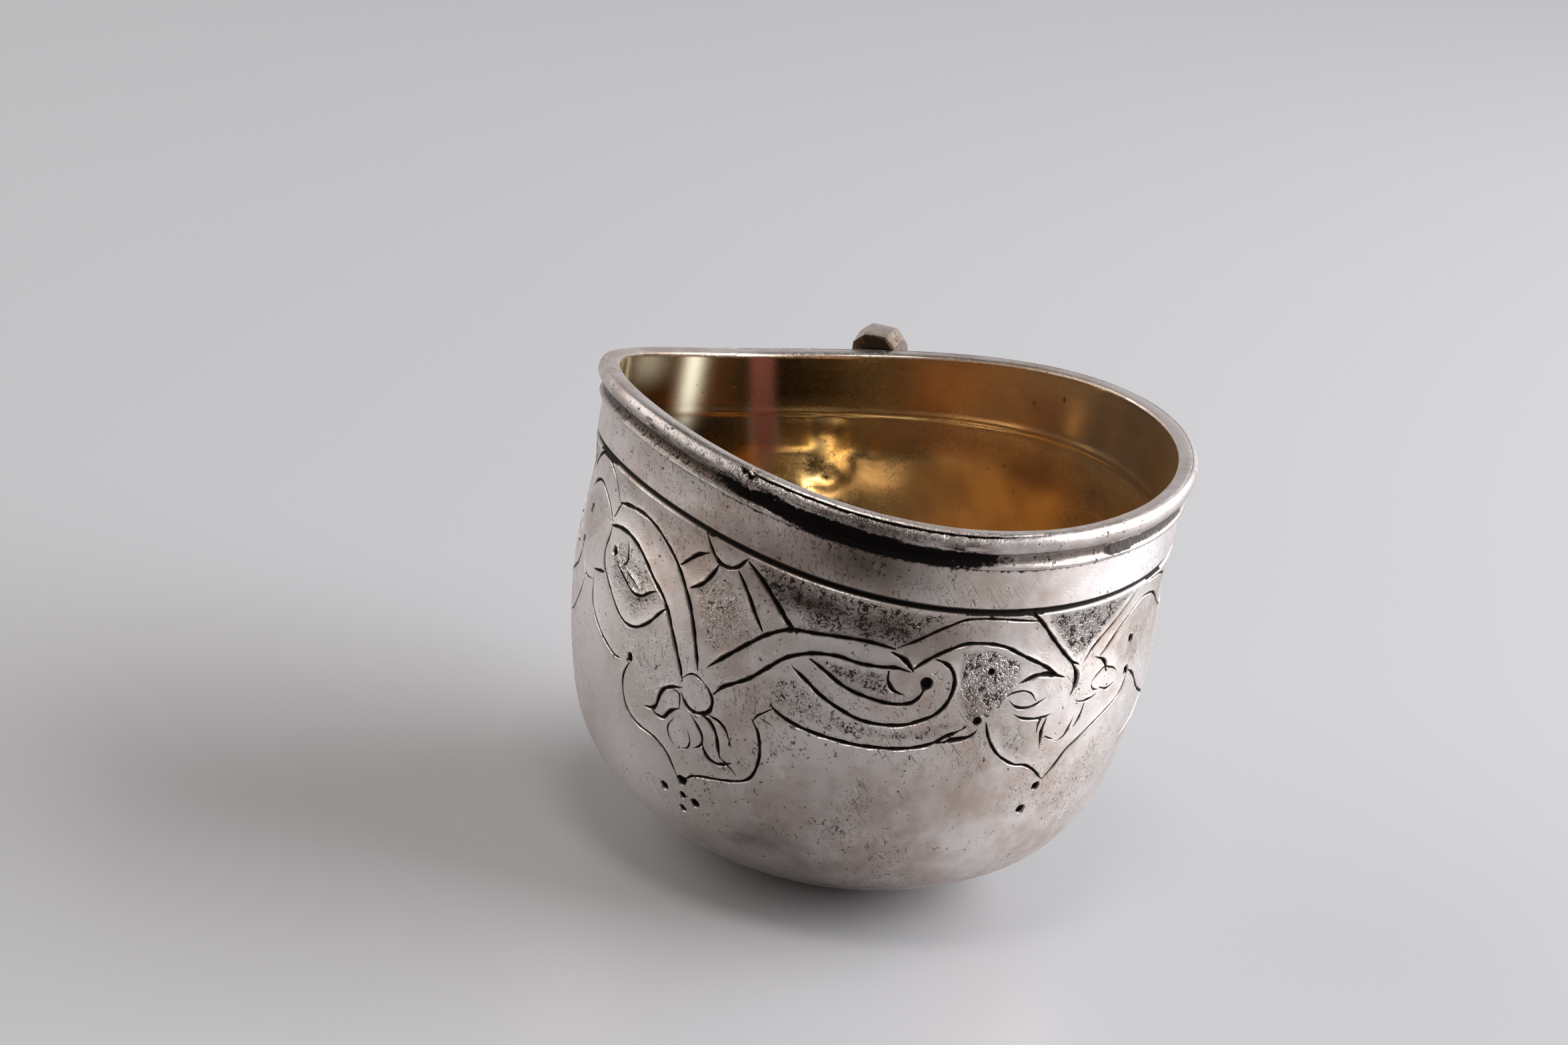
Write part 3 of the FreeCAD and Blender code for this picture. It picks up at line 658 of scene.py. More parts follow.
def engraved_panel():
    """The ornamented wall, unrolled: a net of triangles whose edges follow every cut.

    Returns angles, drops, triangles and, for each point, its lift, blackness and matting."""
    lines = [Line(motif) for motif in ENGRAVING if isinstance(motif, Stroke)]
    drills = [motif for motif in ENGRAVING if isinstance(motif, Drill)]
    points, edges = panel_net(lines, drills)
    found = delaunay_2d_cdt(
        [Vector(point) for point in points], edges, [], 0, NET_TOLERANCE, False
    )
    places = np.array([tuple(point) for point in found[0]])
    triangles = np.array(found[2])

    cut, burr = cut_depths(places, lines, drills)
    matted = matting(places)
    random = np.random.default_rng(7).uniform(0, 1, len(places))
    pits = matted * (GROUND_DEPTH + PIT_DEPTH * random ** 2)
    lift = np.where(cut < UNCUT, burr - pits * (burr < NO_BURR), -cut)
    angle = places[:, 0] / MM_PER_DEGREE + BACK_ANGLE
    drop = -places[:, 1]
    blackness = np.clip(cut / BLACK_DEPTH, 0, 1)
    in_crease = abs(drop) < NET_TOLERANCE
    front = at_angle_band(angle % FULL_TURN, *CREASE_FRONT)
    blackness[in_crease] *= (CREASE_BLACK + (1 - CREASE_BLACK) * front)[in_crease]
    return angle, drop, triangles, lift, blackness, matted


def cut_depths(places, lines, drills):
    """Depth of the cuts and height of the burrs beside them, at each place."""
    cut = np.zeros(len(places))
    burr = np.zeros(len(places))
    for line in lines:
        reach = line.half + BURR_WIDTH
        low, high = line.points.min(0) - reach, line.points.max(0) + reach
        near = np.flatnonzero(((places > low) & (places < high)).all(1))
        gap, along = line.measure(places[near])
        share = taper(along, line.length)
        half = line.half * share
        cut[near] = np.maximum(cut[near], (half - gap) * 2 * CUT_SLOPE)
        beside = np.clip(1 - (gap - half) / BURR_WIDTH, 0, 1) * share
        burr[near] = np.maximum(burr[near], BURR_HEIGHT * beside)
    for drill in drills:
        centre = flat([(drill.angle, drill.drop)])[0]
        gap = np.linalg.norm(places - centre, axis=1) / drill.radius
        depth = DRILL_DEPTH_SHARE * drill.radius * np.clip(1 - gap ** 3, 0, 1)
        cut = np.maximum(cut, depth)
        rim = np.clip(1 - (gap - 1) * drill.radius / BURR_WIDTH, 0, 1) * (gap >= 1)
        burr = np.maximum(burr, BURR_HEIGHT * rim)
    crease = CREASE_DEPTH * np.clip(1 - abs(places[:, 1]) * 2 / CREASE_WIDTH, 0, 1)
    return np.maximum(cut, crease), burr


# Meshes

class Sheet:
    """Points, faces and point values gathered for one mesh."""

    def __init__(self, *values):
        self.points, self.faces, self.finishes = [], [], []
        self.values = {name: [] for name in values}
        self.count = 0

    def add_points(self, points, **values):
        """Take in points with their values; returns the number of the first."""
        points = points.reshape(-1, 3)
        for name, known in self.values.items():
            amounts = np.broadcast_to(np.reshape(values.get(name, 0.0), (-1,)), (len(points),))
            known.append(amounts)
        self.points.append(points)
        self.count += len(points)
        return self.count - len(points)

    def add_faces(self, faces, finish=0):
        """Take in faces that all have one finish."""
        self.faces.extend(faces)
        self.finishes.extend([finish] * len(faces))

    def add_grid(self, points, closed=True, finish=0, **values):
        """Rows of points, joined by four-sided faces; a closed grid joins its last column."""
        rows, columns = points.shape[:2]
        values = {name: np.broadcast_to(amount, (rows, columns)).reshape(-1)
                  for name, amount in values.items()}
        start = self.add_points(points, **values)
        index = start + np.arange(rows * columns).reshape(rows, columns)
        if closed:
            index = np.concatenate([index, index[:, :1]], 1)
        quads = np.stack([index[:-1, :-1], index[:-1, 1:], index[1:, 1:], index[1:, :-1]], -1)
        self.add_faces(quads.reshape(-1, 4).tolist(), finish)
        return index

    def add_fan(self, ring, centre, step=1, finish=0):
        """Three-sided faces from a ring to its centre; a step of -1 turns them over."""
        middle = self.add_points(centre)
        start = self.add_points(ring)
        count = len(ring)
        sides = [(start + i, start + (i + 1) % count) for i in range(count)]
        self.add_faces([side[::step] + (middle,) for side in sides], finish)

    def make(self, name, merge=0.0):
        """The mesh object, in metres, with its point values as attributes."""
        mesh = bpy.data.meshes.new(name)
        mesh.from_pydata(np.concatenate(self.points) * MM, [], self.faces)
        mesh.polygons.foreach_set("material_index", self.finishes)
        for value_name, amounts in self.values.items():
            attribute = mesh.attributes.new(value_name, "FLOAT", "POINT")
            attribute.data.foreach_set("value", np.concatenate(amounts).astype(np.float32))
        if merge:
            work = bmesh.new()
            work.from_mesh(mesh)
            bmesh.ops.remove_doubles(work, verts=work.verts, dist=merge * MM)
            bmesh.ops.recalc_face_normals(work, faces=work.faces)
            work.to_mesh(mesh)
            work.free()
        mesh.polygons.foreach_set("use_smooth", [True] * len(mesh.polygons))
        mesh.set_sharp_from_angle(angle=math.radians(SHARP_ANGLE))
        piece = bpy.data.objects.new(name, mesh)
        bpy.context.scene.collection.objects.link(piece)
        return piece


def column_angles(count=COLUMNS):
    """Degrees of evenly spaced columns round the cup, from the back."""
    return BACK_ANGLE + np.arange(count) * FULL_TURN / count


def hammered(points, amount=0.07):
    """A little unevenness that the raising hammer left, in millimetres."""
    return amount * (0.7 * rough(points, 9.0, 3.1) + 0.3 * rough(points, 4.0, 8.3))


def nearest_turn(degrees):
    """The same turn as a number of degrees between -180 and 180."""
    return (degrees + FULL_TURN / 2) % FULL_TURN - FULL_TURN / 2


# Soft dents low on the belly: degrees, millimetres below the crease, radius and depth
DENTS = [
    (250.0, 34.0, 4.2, 1.1), (262.0, 37.0, 4.0, 0.2), (300.0, 33.0, 6.0, 0.2),
    (150.0, 30.0, 7.0, 0.35), (30.0, 35.0, 6.0, 0.3),
]


def dents(angle, drop):
    """How far the wall is pushed in, in millimetres."""
    depth = np.zeros(np.broadcast(angle, drop).shape)
    for at_angle, at_drop, radius, deep in DENTS:
        across = nearest_turn(angle - at_angle) * MM_PER_DEGREE
        depth += deep * np.exp(-(across ** 2 + (drop - at_drop) ** 2) / radius ** 2)
    return depth


# Places where the silver is darker, from tarnish and from painted shade and dark reflection on the
# front:
# degrees, millimetres below the crease, spread across and along the wall in millimetres, and how
# dark
TARNISH_AND_PAINTED_SHADE_PLACES = [
    (252.0, 12.0, 18.0, 16.0, 0.36), (260.0, 27.0, 16.0, 14.0, 0.55), (290.0, 12.0, 8.0, 6.0, 0.2),
    (262.0, -3.2, 8.5, 4.0, 0.95), (243.0, -1.0, 13.0, 3.4, 0.6), (220.0, -4.0, 13.0, 3.8, 0.55),
    (253.0, 2.6, 8.5, 2.6, 1.0), (267.0, 3.2, 10.0, 2.8, 0.9), (240.0, 9.0, 8.0, 4.5, 0.42),
    (248.0, 34.0, 6.0, 2.6, 0.7), (262.0, 42.0, 14.0, 3.0, 0.35), (212.0, 9.0, 8.0, 4.0, 0.3),
    (262.0, 9.5, 12.0, 4.0, 0.45), (205.0, 1.0, 7.0, 2.5, 0.3),
    (120.0, 3.0, 12.0, 3.0, 0.5), (60.0, 4.0, 12.0, 3.0, 0.5), (20.0, 3.0, 9.0, 2.5, 0.5),
    (150.0, 38.0, 14.0, 5.0, 0.35), (20.0, 39.0, 14.0, 5.0, 0.35), (160.0, -2.5, 9.0, 2.5, 0.3),
]

# Places painted brighter as reflected light, where handling also polishes, given in the same way
POLISH_AND_PAINTED_LIGHT_PLACES = [
    (215.0, 30.0, 11.0, 11.0, 1.0), (200.0, 20.0, 8.0, 14.0, 0.6),
    (180.0, 20.0, 20.0, 14.0, 0.3), (10.0, 22.0, 20.0, 14.0, 0.3),
    (279.0, -1.5, 6.0, 2.6, 0.1), (324.0, -3.5, 11.0, 4.5, 0.7),
]


def spread_over(places, angle, drop):
    """Strength from 0 to 1 round a list of places, fading with distance from each."""
    amount = np.zeros(np.broadcast(angle, drop).shape)
    for at_angle, at_drop, across, along, strength in places:
        turn = nearest_turn(angle - at_angle)
        gap = (turn * MM_PER_DEGREE / across) ** 2 + ((drop - at_drop) / along) ** 2
        amount = np.maximum(amount, strength * np.exp(-gap))
    return amount


def wall_tones(angle, drop):
    """Where the wall is darkened by tarnish and painted shade, and brightened by polish and
    painted light, as values for a sheet.
    """
    return {
        # The tarnish value carries painted shade as well as real tarnish
        "tarnish": spread_over(TARNISH_AND_PAINTED_SHADE_PLACES, angle, drop),
        "polish_and_painted_light": spread_over(POLISH_AND_PAINTED_LIGHT_PLACES, angle, drop),
    }


def outer_skin(sheet):
    """The engraved wall, the collar above it and the plain body below it."""
    angle, drop, triangles, lift, cut, matted = engraved_panel()
    base = on_wall(angle, drop)
    uneven = hammered(base)
    edge_fade = np.clip((drop - PANEL_TOP) / 2, 0, 1)
    lift = lift + uneven * edge_fade - dents(angle, drop)
    start = sheet.add_points(
        on_wall(angle, drop, lift), cut=cut, matted=matted, **wall_tones(angle, drop)
    )
    sheet.add_faces((triangles + start).tolist())

    angles = column_angles()
    drops = np.concatenate([
        np.linspace(PANEL_FOOT, BODY_LENGTH - 1.0, 15), [BODY_LENGTH - 0.3, BODY_LENGTH],
    ])[:, None]
    grid_angle, grid_drop = np.broadcast_arrays(angles[None], drops)
    base = on_wall(grid_angle, grid_drop)
    uneven = hammered(base.reshape(-1, 3)).reshape(grid_drop.shape)
    foot_fade = np.clip((BODY_LENGTH - grid_drop) / 3, 0, 1)
    lift = (uneven - dents(grid_angle, grid_drop)) * foot_fade
    sheet.add_grid(on_wall(grid_angle, grid_drop, lift), **wall_tones(grid_angle, grid_drop))
    add_base(sheet, angles)


BASE_RINGS = [BASE_RADIUS, 6.0, 3.0, 0.6]


def add_base(sheet, angles):
    """The flat base: rings that narrow to its middle."""
    turn = np.radians(angles)
    rings = [
        np.stack([radius * np.cos(turn), radius * np.sin(turn), 0 * turn], -1)
        for radius in BASE_RINGS
    ]
    for outer, inner in zip(rings, rings[1:]):
        sheet.add_grid(np.stack([outer, inner]))
    sheet.add_fan(rings[-1], np.zeros((1, 3)))


# How quickly the seam opens after the butt joint and closes at its end, in degrees
SEAM_OPENS = 1.5
SEAM_CLOSES = 14.0


def seam_share(angle):
    """How open the seam between lip and wire is: open at the front, closed elsewhere."""
    opens = np.clip((angle - BUTT_ANGLE) / SEAM_OPENS, 0, 1)
    closes = np.clip((SEAM_END_ANGLE - angle) / SEAM_CLOSES, 0, 1)
    return opens * closes


# The section across the lip, from the seam to its inner edge, as radius and depth below
# the rim: where the wire is still tight, and where the seam has opened and the edge slumped
TIGHT_LIP = [
    (31.0, 0.75), (31.3, 0.3), (31.34, 0.1), (31.15, 0.0), (30.8, 0.0), (30.4, 0.04),
    (30.1, 0.1), (29.92, 0.18), (29.83, 0.28), (29.8, 0.45),
]
OPEN_LIP = [
    (30.85, 1.2), (30.9, 0.75), (31.1, 0.46), (31.14, 0.3), (31.02, 0.19), (30.55, 0.14),
    (30.15, 0.11), (29.92, 0.15), (29.83, 0.24), (29.8, 0.42),
]


def add_collar(sheet):
    """The collar, from above the crease to behind the wire."""
    wire_foot = CUP_HEIGHT - WIRE_HEIGHT
    heights = np.concatenate([
        np.linspace(CREASE_HEIGHT - PANEL_TOP, wire_foot + 0.2, 12),
        [CUP_HEIGHT - 2.0, CUP_HEIGHT - 1.3],
    ])[:, None]
    grid_angle, grid_height = np.broadcast_arrays(column_angles()[None], heights)
    base = on_ring(grid_angle, np.full(grid_angle.shape, COLLAR_RADIUS), grid_height)
    uneven = hammered(base.reshape(-1, 3), 0.08).reshape(grid_height.shape)
    fade = np.clip((grid_height - CREASE_HEIGHT + PANEL_TOP) / 1.5, 0, 1)
    fade = fade * np.clip((wire_foot + 0.3 - grid_height) / 0.8, 0, 1)
    radius = COLLAR_RADIUS + (uneven - 0.03) * fade
    # Painted shade on the collar just under the wire, carried as grime
    below_wire = np.clip(1 - (wire_foot - grid_height) / 0.7, 0, 1)
    sheet.add_grid(
        on_ring(grid_angle, radius, grid_height), grime=0.75 * below_wire,
        **wall_tones(grid_angle, CREASE_HEIGHT - grid_height)
    )


# How black the seam is from its bottom up, at the first points of the section: painted shade in
# the open gap, with grime
SEAM_GRIME_AND_SHADE = [1.0, 1.0, 0.75, 0.2]


def add_lip(sheet):
    """The top of the lip; returns its inner edge."""
    angles = column_angles(LIP_COLUMNS)
    opening = seam_share(angles)
    ring = on_ring(angles, LIP_RADIUS + 0 * angles, CUP_HEIGHT)
    worn = rough(ring, 6, 1.7)
    ragged = rough(ring, 0.7, 5.5) + 0.6 * rough(ring, 2.2, 7.7)
    tight, slack = np.array(TIGHT_LIP), np.array(OPEN_LIP)
    section = tight[:, None] + (slack - tight)[:, None] * opening[None, :, None]
    radius, depth = section[..., 0], section[..., 1]
    share = np.linspace(1, 0, len(tight))[:, None]
    radius = radius + 0.045 * ragged * opening * np.exp(-((share - 0.72) / 0.2) ** 2)
    depth = depth + 0.04 * (1 + worn) + 0.03 * ragged * np.clip(1.4 * share - 0.6, 0, 1)
    points = on_ring(angles, radius, CUP_HEIGHT) - np.stack([0 * depth, 0 * depth, depth], -1)
    grime = np.array(SEAM_GRIME_AND_SHADE + [0.0] * (len(tight) - len(SEAM_GRIME_AND_SHADE)))
    gilt = np.clip(1 - share * 3.2, 0, 1) * np.ones(len(angles))
    sheet.add_grid(points, grime=grime[:, None] * opening[None], gilt=gilt)
    return points[-1]


# Inside, the straps and scrolls chased from outside stand up as soft bulges
BULGES = [
    (82.0, 5.5, 3.0, 0.28), (95.0, 8.0, 2.6, 0.42), (97.0, 2.2, 1.8, 0.3),
    (64.0, 8.0, 2.8, 0.12), (50.0, 5.0, 3.2, 0.14), (118.0, 7.5, 3.0, 0.4),
    (34.0, 8.5, 2.8, 0.14), (18.0, 5.0, 3.2, 0.14), (134.0, 5.0, 3.2, 0.35),
    (150.0, 9.0, 3.0, 0.3), (166.0, 5.0, 3.0, 0.35), (4.0, 9.0, 2.8, 0.3),
    (348.0, 5.5, 3.2, 0.35), (330.0, 8.0, 3.0, 0.3), (310.0, 5.5, 3.0, 0.35),
    (290.0, 8.5, 2.8, 0.3), (270.0, 5.0, 3.4, 0.35), (250.0, 8.0, 3.0, 0.3),
    (230.0, 5.5, 3.0, 0.35), (210.0, 8.0, 2.8, 0.3), (188.0, 5.0, 3.2, 0.35),
]

# The ridge that the crease raised inside
RIDGE_HEIGHT = 0.11
RIDGE_SPREAD = 0.5

# The bottom of the inside: rings as shares of the last one's width and of its height
INNER_RINGS = [(1.0, 1.0), (0.8, 0.55), (0.5, 0.15), (0.2, 0.0)]


def bulges(angle, drop):
    """How far the straps stand up inside, each with a dimple in its middle."""
    rise = np.zeros(angle.shape)
    for at_angle, at_drop, spread, high in BULGES:
        across = nearest_turn(angle - at_angle) * MM_PER_DEGREE
        gap = np.hypot(across, drop - at_drop) / spread
        rise += high * (np.exp(-gap ** 2 * 1.5) - 0.45 * np.exp(-gap ** 2 * 6))
    return rise


def stripe(angle, centre, width, power=2):
    """1 at one angle, fading to 0 on both sides of it."""
    return np.exp(-(nearest_turn(angle - centre) / width) ** power)


def gilding_marks_and_painted_reflections(angle, drop):
    """Painted reflections in the gilding: dark patches, a reddish stripe, a pale matt painted
    highlight beside it, and a brown-orange stain at the right that is also painted darker as a
    reflection.
    """
    low_share = np.clip((drop - 2) / 4, 0, 1)
    # Painted dark reflections, where the gilding would mirror the dark front of the room
    dark = np.max([
        stripe(angle, 106, 21, 4) * np.clip(1.4 - abs(drop + 5) / 7, 0, 1),
        0.75 * stripe(angle, 63, 20, 4) * low_share,
        0.4 * stripe(angle, 72, 7) * (1 - low_share),
        0.9 * stripe(angle, 126, 12, 4) * np.clip(drop, 0, 1),
    ], axis=0)
    # A painted reflection: a reddish stripe down the far wall
    red = stripe(angle, 112.5 - drop / 3, 3.4, 4) * np.clip((10 - drop) / 6, 0, 1)
    # Painted highlights: a pale, less shiny streak and a fainter patch high at the left
    matt = stripe(angle, 133, 3.6) * np.clip((4 - drop) / 6, 0, 1)
    matt += 0.3 * stripe(angle, 150, 8) * np.clip((-3 - drop) / 3, 0, 1)
    # A brown-orange stain at the right, painted darker to stand for the reflection there
    amber_stain_and_painted_reflection = stripe(angle, 32, 56, 4) * (0.45 + 0.4 * np.clip(drop / 2, 0, 1))
    return {"tarnish": dark, "gilt": red, "matted": matt, "amber_stain_and_painted_reflection": amber_stain_and_painted_reflection}


def join_edges(sheet, fine_edge, coarse_edge, coarse_index, finish):
    """Faces between a finely cut ring and a coarser one whose columns lie on some of its own."""
    start = sheet.add_points(fine_edge)
    per_column = len(fine_edge) // len(coarse_edge)
    for column in range(len(coarse_edge)):
        fan = [start + (column * per_column + i) % len(fine_edge) for i in range(per_column + 1)]
        near, far = int(coarse_index[column]), int(coarse_index[column + 1])
        sheet.add_faces([(fan[i], fan[i + 1], near) for i in range(per_column)], finish)
        sheet.add_faces([(fan[-1], far, near)], finish)


def inner_skin(sheet, lip_edge):
    """The gilt inside: lip edge, collar, the ridge that the crease raised, and the bowl."""
    drops = np.concatenate([
        np.linspace(-7.2, -1.6, 7), np.linspace(-1.2, 1.2, 9), np.linspace(1.9, 14, 16),
        np.linspace(15.5, BODY_LENGTH - 2.5, 16),
    ])[:, None]
    grid_angle, grid_drop = np.broadcast_arrays(column_angles()[None], drops)
    inset = WALL + np.clip(1 - grid_drop / 4, 0, 1) * (COLLAR_RADIUS - LIP_RADIUS - WALL)
    ridge = RIDGE_HEIGHT * np.exp(-(grid_drop / RIDGE_SPREAD) ** 2)
    base = on_wall(grid_angle, grid_drop, -inset)
    uneven = hammered(base.reshape(-1, 3), 0.06).reshape(grid_drop.shape)
    uneven = uneven * (0.2 + 0.8 * np.clip((grid_drop + 1) / 3, 0, 1))
    uneven = uneven * np.clip((7.2 + grid_drop) / 2, 0, 1)
    raised = ridge + bulges(grid_angle, grid_drop) + uneven + dents(grid_angle, grid_drop)
    points = on_wall(grid_angle, grid_drop, -inset - raised)
    index = sheet.add_grid(points, finish=1, **gilding_marks_and_painted_reflections(grid_angle, grid_drop))
    join_edges(sheet, lip_edge, points[0], index[0], finish=1)

    last = points[-1]
    centre = np.array([0, 0, WALL])
    rings = np.stack([centre + (last - centre) * width for width, _ in INNER_RINGS])
    for ring, (_, rise) in zip(rings, INNER_RINGS):
        ring[:, 2] = WALL + (last[:, 2] - WALL) * rise
    sheet.add_grid(rings, finish=1)
    sheet.add_fan(rings[-1], centre[None], step=-1, finish=1)


def make_bowl():
    """The bowl: its outside, its lip and its gilt inside, joined into one skin."""
    sheet = Sheet("cut", "matted", "grime", "tarnish", "polish_and_painted_light", "gilt", "amber_stain_and_painted_reflection")
    outer_skin(sheet)
    add_collar(sheet)
    inner_skin(sheet, add_lip(sheet))
    return sheet.make("engraved_bowl", merge=BOWL_WELD)


# The moulded wire

WIRE_COLUMNS = 1300
BUTT_GAP = 0.1
OPEN_DROP = 0.5
BEAD_POINTS = 14
GROOVE_POINTS = 12

# The columns lie closer together round one angle: by how much, and down to which cosine
CLOSE_ANGLE = 256.0
CLOSE_TIMES = 3.2
CLOSE_COSINE = 0.4
EVEN_STEPS = 4000

# Chips along the bead: degrees, depth below the rim, size and depth of the chip
CHIPS = [
    (236.2, 0.35, 0.55, 0.6), (237.4, 0.75, 0.5, 0.5), (238.6, 0.55, 0.4, 0.35),
    (241.0, 1.7, 0.9, 0.3), (244.0, 1.9, 1.0, 0.35), (249.0, 1.8, 1.1, 0.25),
    (253.5, 1.9, 0.8, 0.3), (258.0, 1.75, 1.1, 0.22), (264.0, 1.9, 0.9, 0.2),
    (231.5, 0.9, 0.5, 0.1), (212.0, 1.0, 0.6, 0.18), (216.0, 1.7, 0.9, 0.22),
    (225.5, 1.8, 1.1, 0.2), (233.0, 1.75, 1.0, 0.25), (275.0, 0.62, 0.25, 0.2),
]

# Where dirt has filled the groove: degrees at its ends, and how full it is
FILLED = [(311.0, 317.0, 0.85), (317.5, 340.0, 0.45)]


def bow(start, end, depth, count):
    """Points along an arc between two section corners; a positive depth swells outwards."""
    start, end = np.array(start), np.array(end)
    chord = np.linalg.norm(end - start)
    radius = (chord ** 2 / 4 + depth ** 2) / (2 * abs(depth))
    share = np.linspace(-1, 1, count)
    sag = np.sqrt(radius ** 2 - (share * chord / 2) ** 2) - (radius - abs(depth))
    straight = start + (end - start) * (share[:, None] + 1) / 2
    straight[:, 0] += math.copysign(1, depth) * sag
    return [tuple(point) for point in straight]


def wire_section(opening):
    """Radius and depth below the rim of each point round the wire's section."""
    shoulder = BEAD_RADIUS - BEAD_CROWN
    top = 0.03 + OPEN_DROP * opening
    bead_foot = BEAD_HEIGHT + 0.2 * opening
    groove_foot = WIRE_HEIGHT - EDGE_HEIGHT
    bead = bow(
        (shoulder - 0.12 - 0.1 * opening, top + 0.07), (shoulder + 0.02, bead_foot),
        BEAD_CROWN + 0.06 - 0.09 * opening, BEAD_POINTS
    )
    groove = bow(
        (shoulder - 0.16, bead_foot + 0.12), (EDGE_RADIUS, groove_foot),
        -GROOVE_DEPTH, GROOVE_POINTS
    )
    return np.array(
        [(COLLAR_RADIUS + 0.02, 1.2), (COLLAR_RADIUS + 0.05, 0.25 + 0.6 * opening)]
        + [(COLLAR_RADIUS + 0.2, top + 0.1 - 0.05 * opening), (COLLAR_RADIUS + 0.42, top)]
        + bead + [(shoulder - 0.03, bead_foot + 0.07)] + groove
        + [(EDGE_RADIUS + 0.03, groove_foot + 0.1), (EDGE_RADIUS + 0.01, WIRE_HEIGHT - 0.08)]
        + [(EDGE_RADIUS - 0.1, WIRE_HEIGHT), (COLLAR_RADIUS - 0.05, WIRE_HEIGHT)]
    )


def wire_angles():
    """Degrees along the wire from one end to the other, closer together at the front."""
    gap = math.degrees(BUTT_GAP / BEAD_RADIUS)
    even = np.linspace(BUTT_ANGLE + gap / 2, BUTT_ANGLE + FULL_TURN - gap / 2, EVEN_STEPS)
    close = np.cos(np.radians(even - CLOSE_ANGLE)) > CLOSE_COSINE
    weight = np.where(close, CLOSE_TIMES, 1.0)
    summed = np.concatenate([[0], np.cumsum((weight[1:] + weight[:-1]) / 2)])
    return np.interp(np.linspace(0, summed[-1], WIRE_COLUMNS + 1), summed, even)


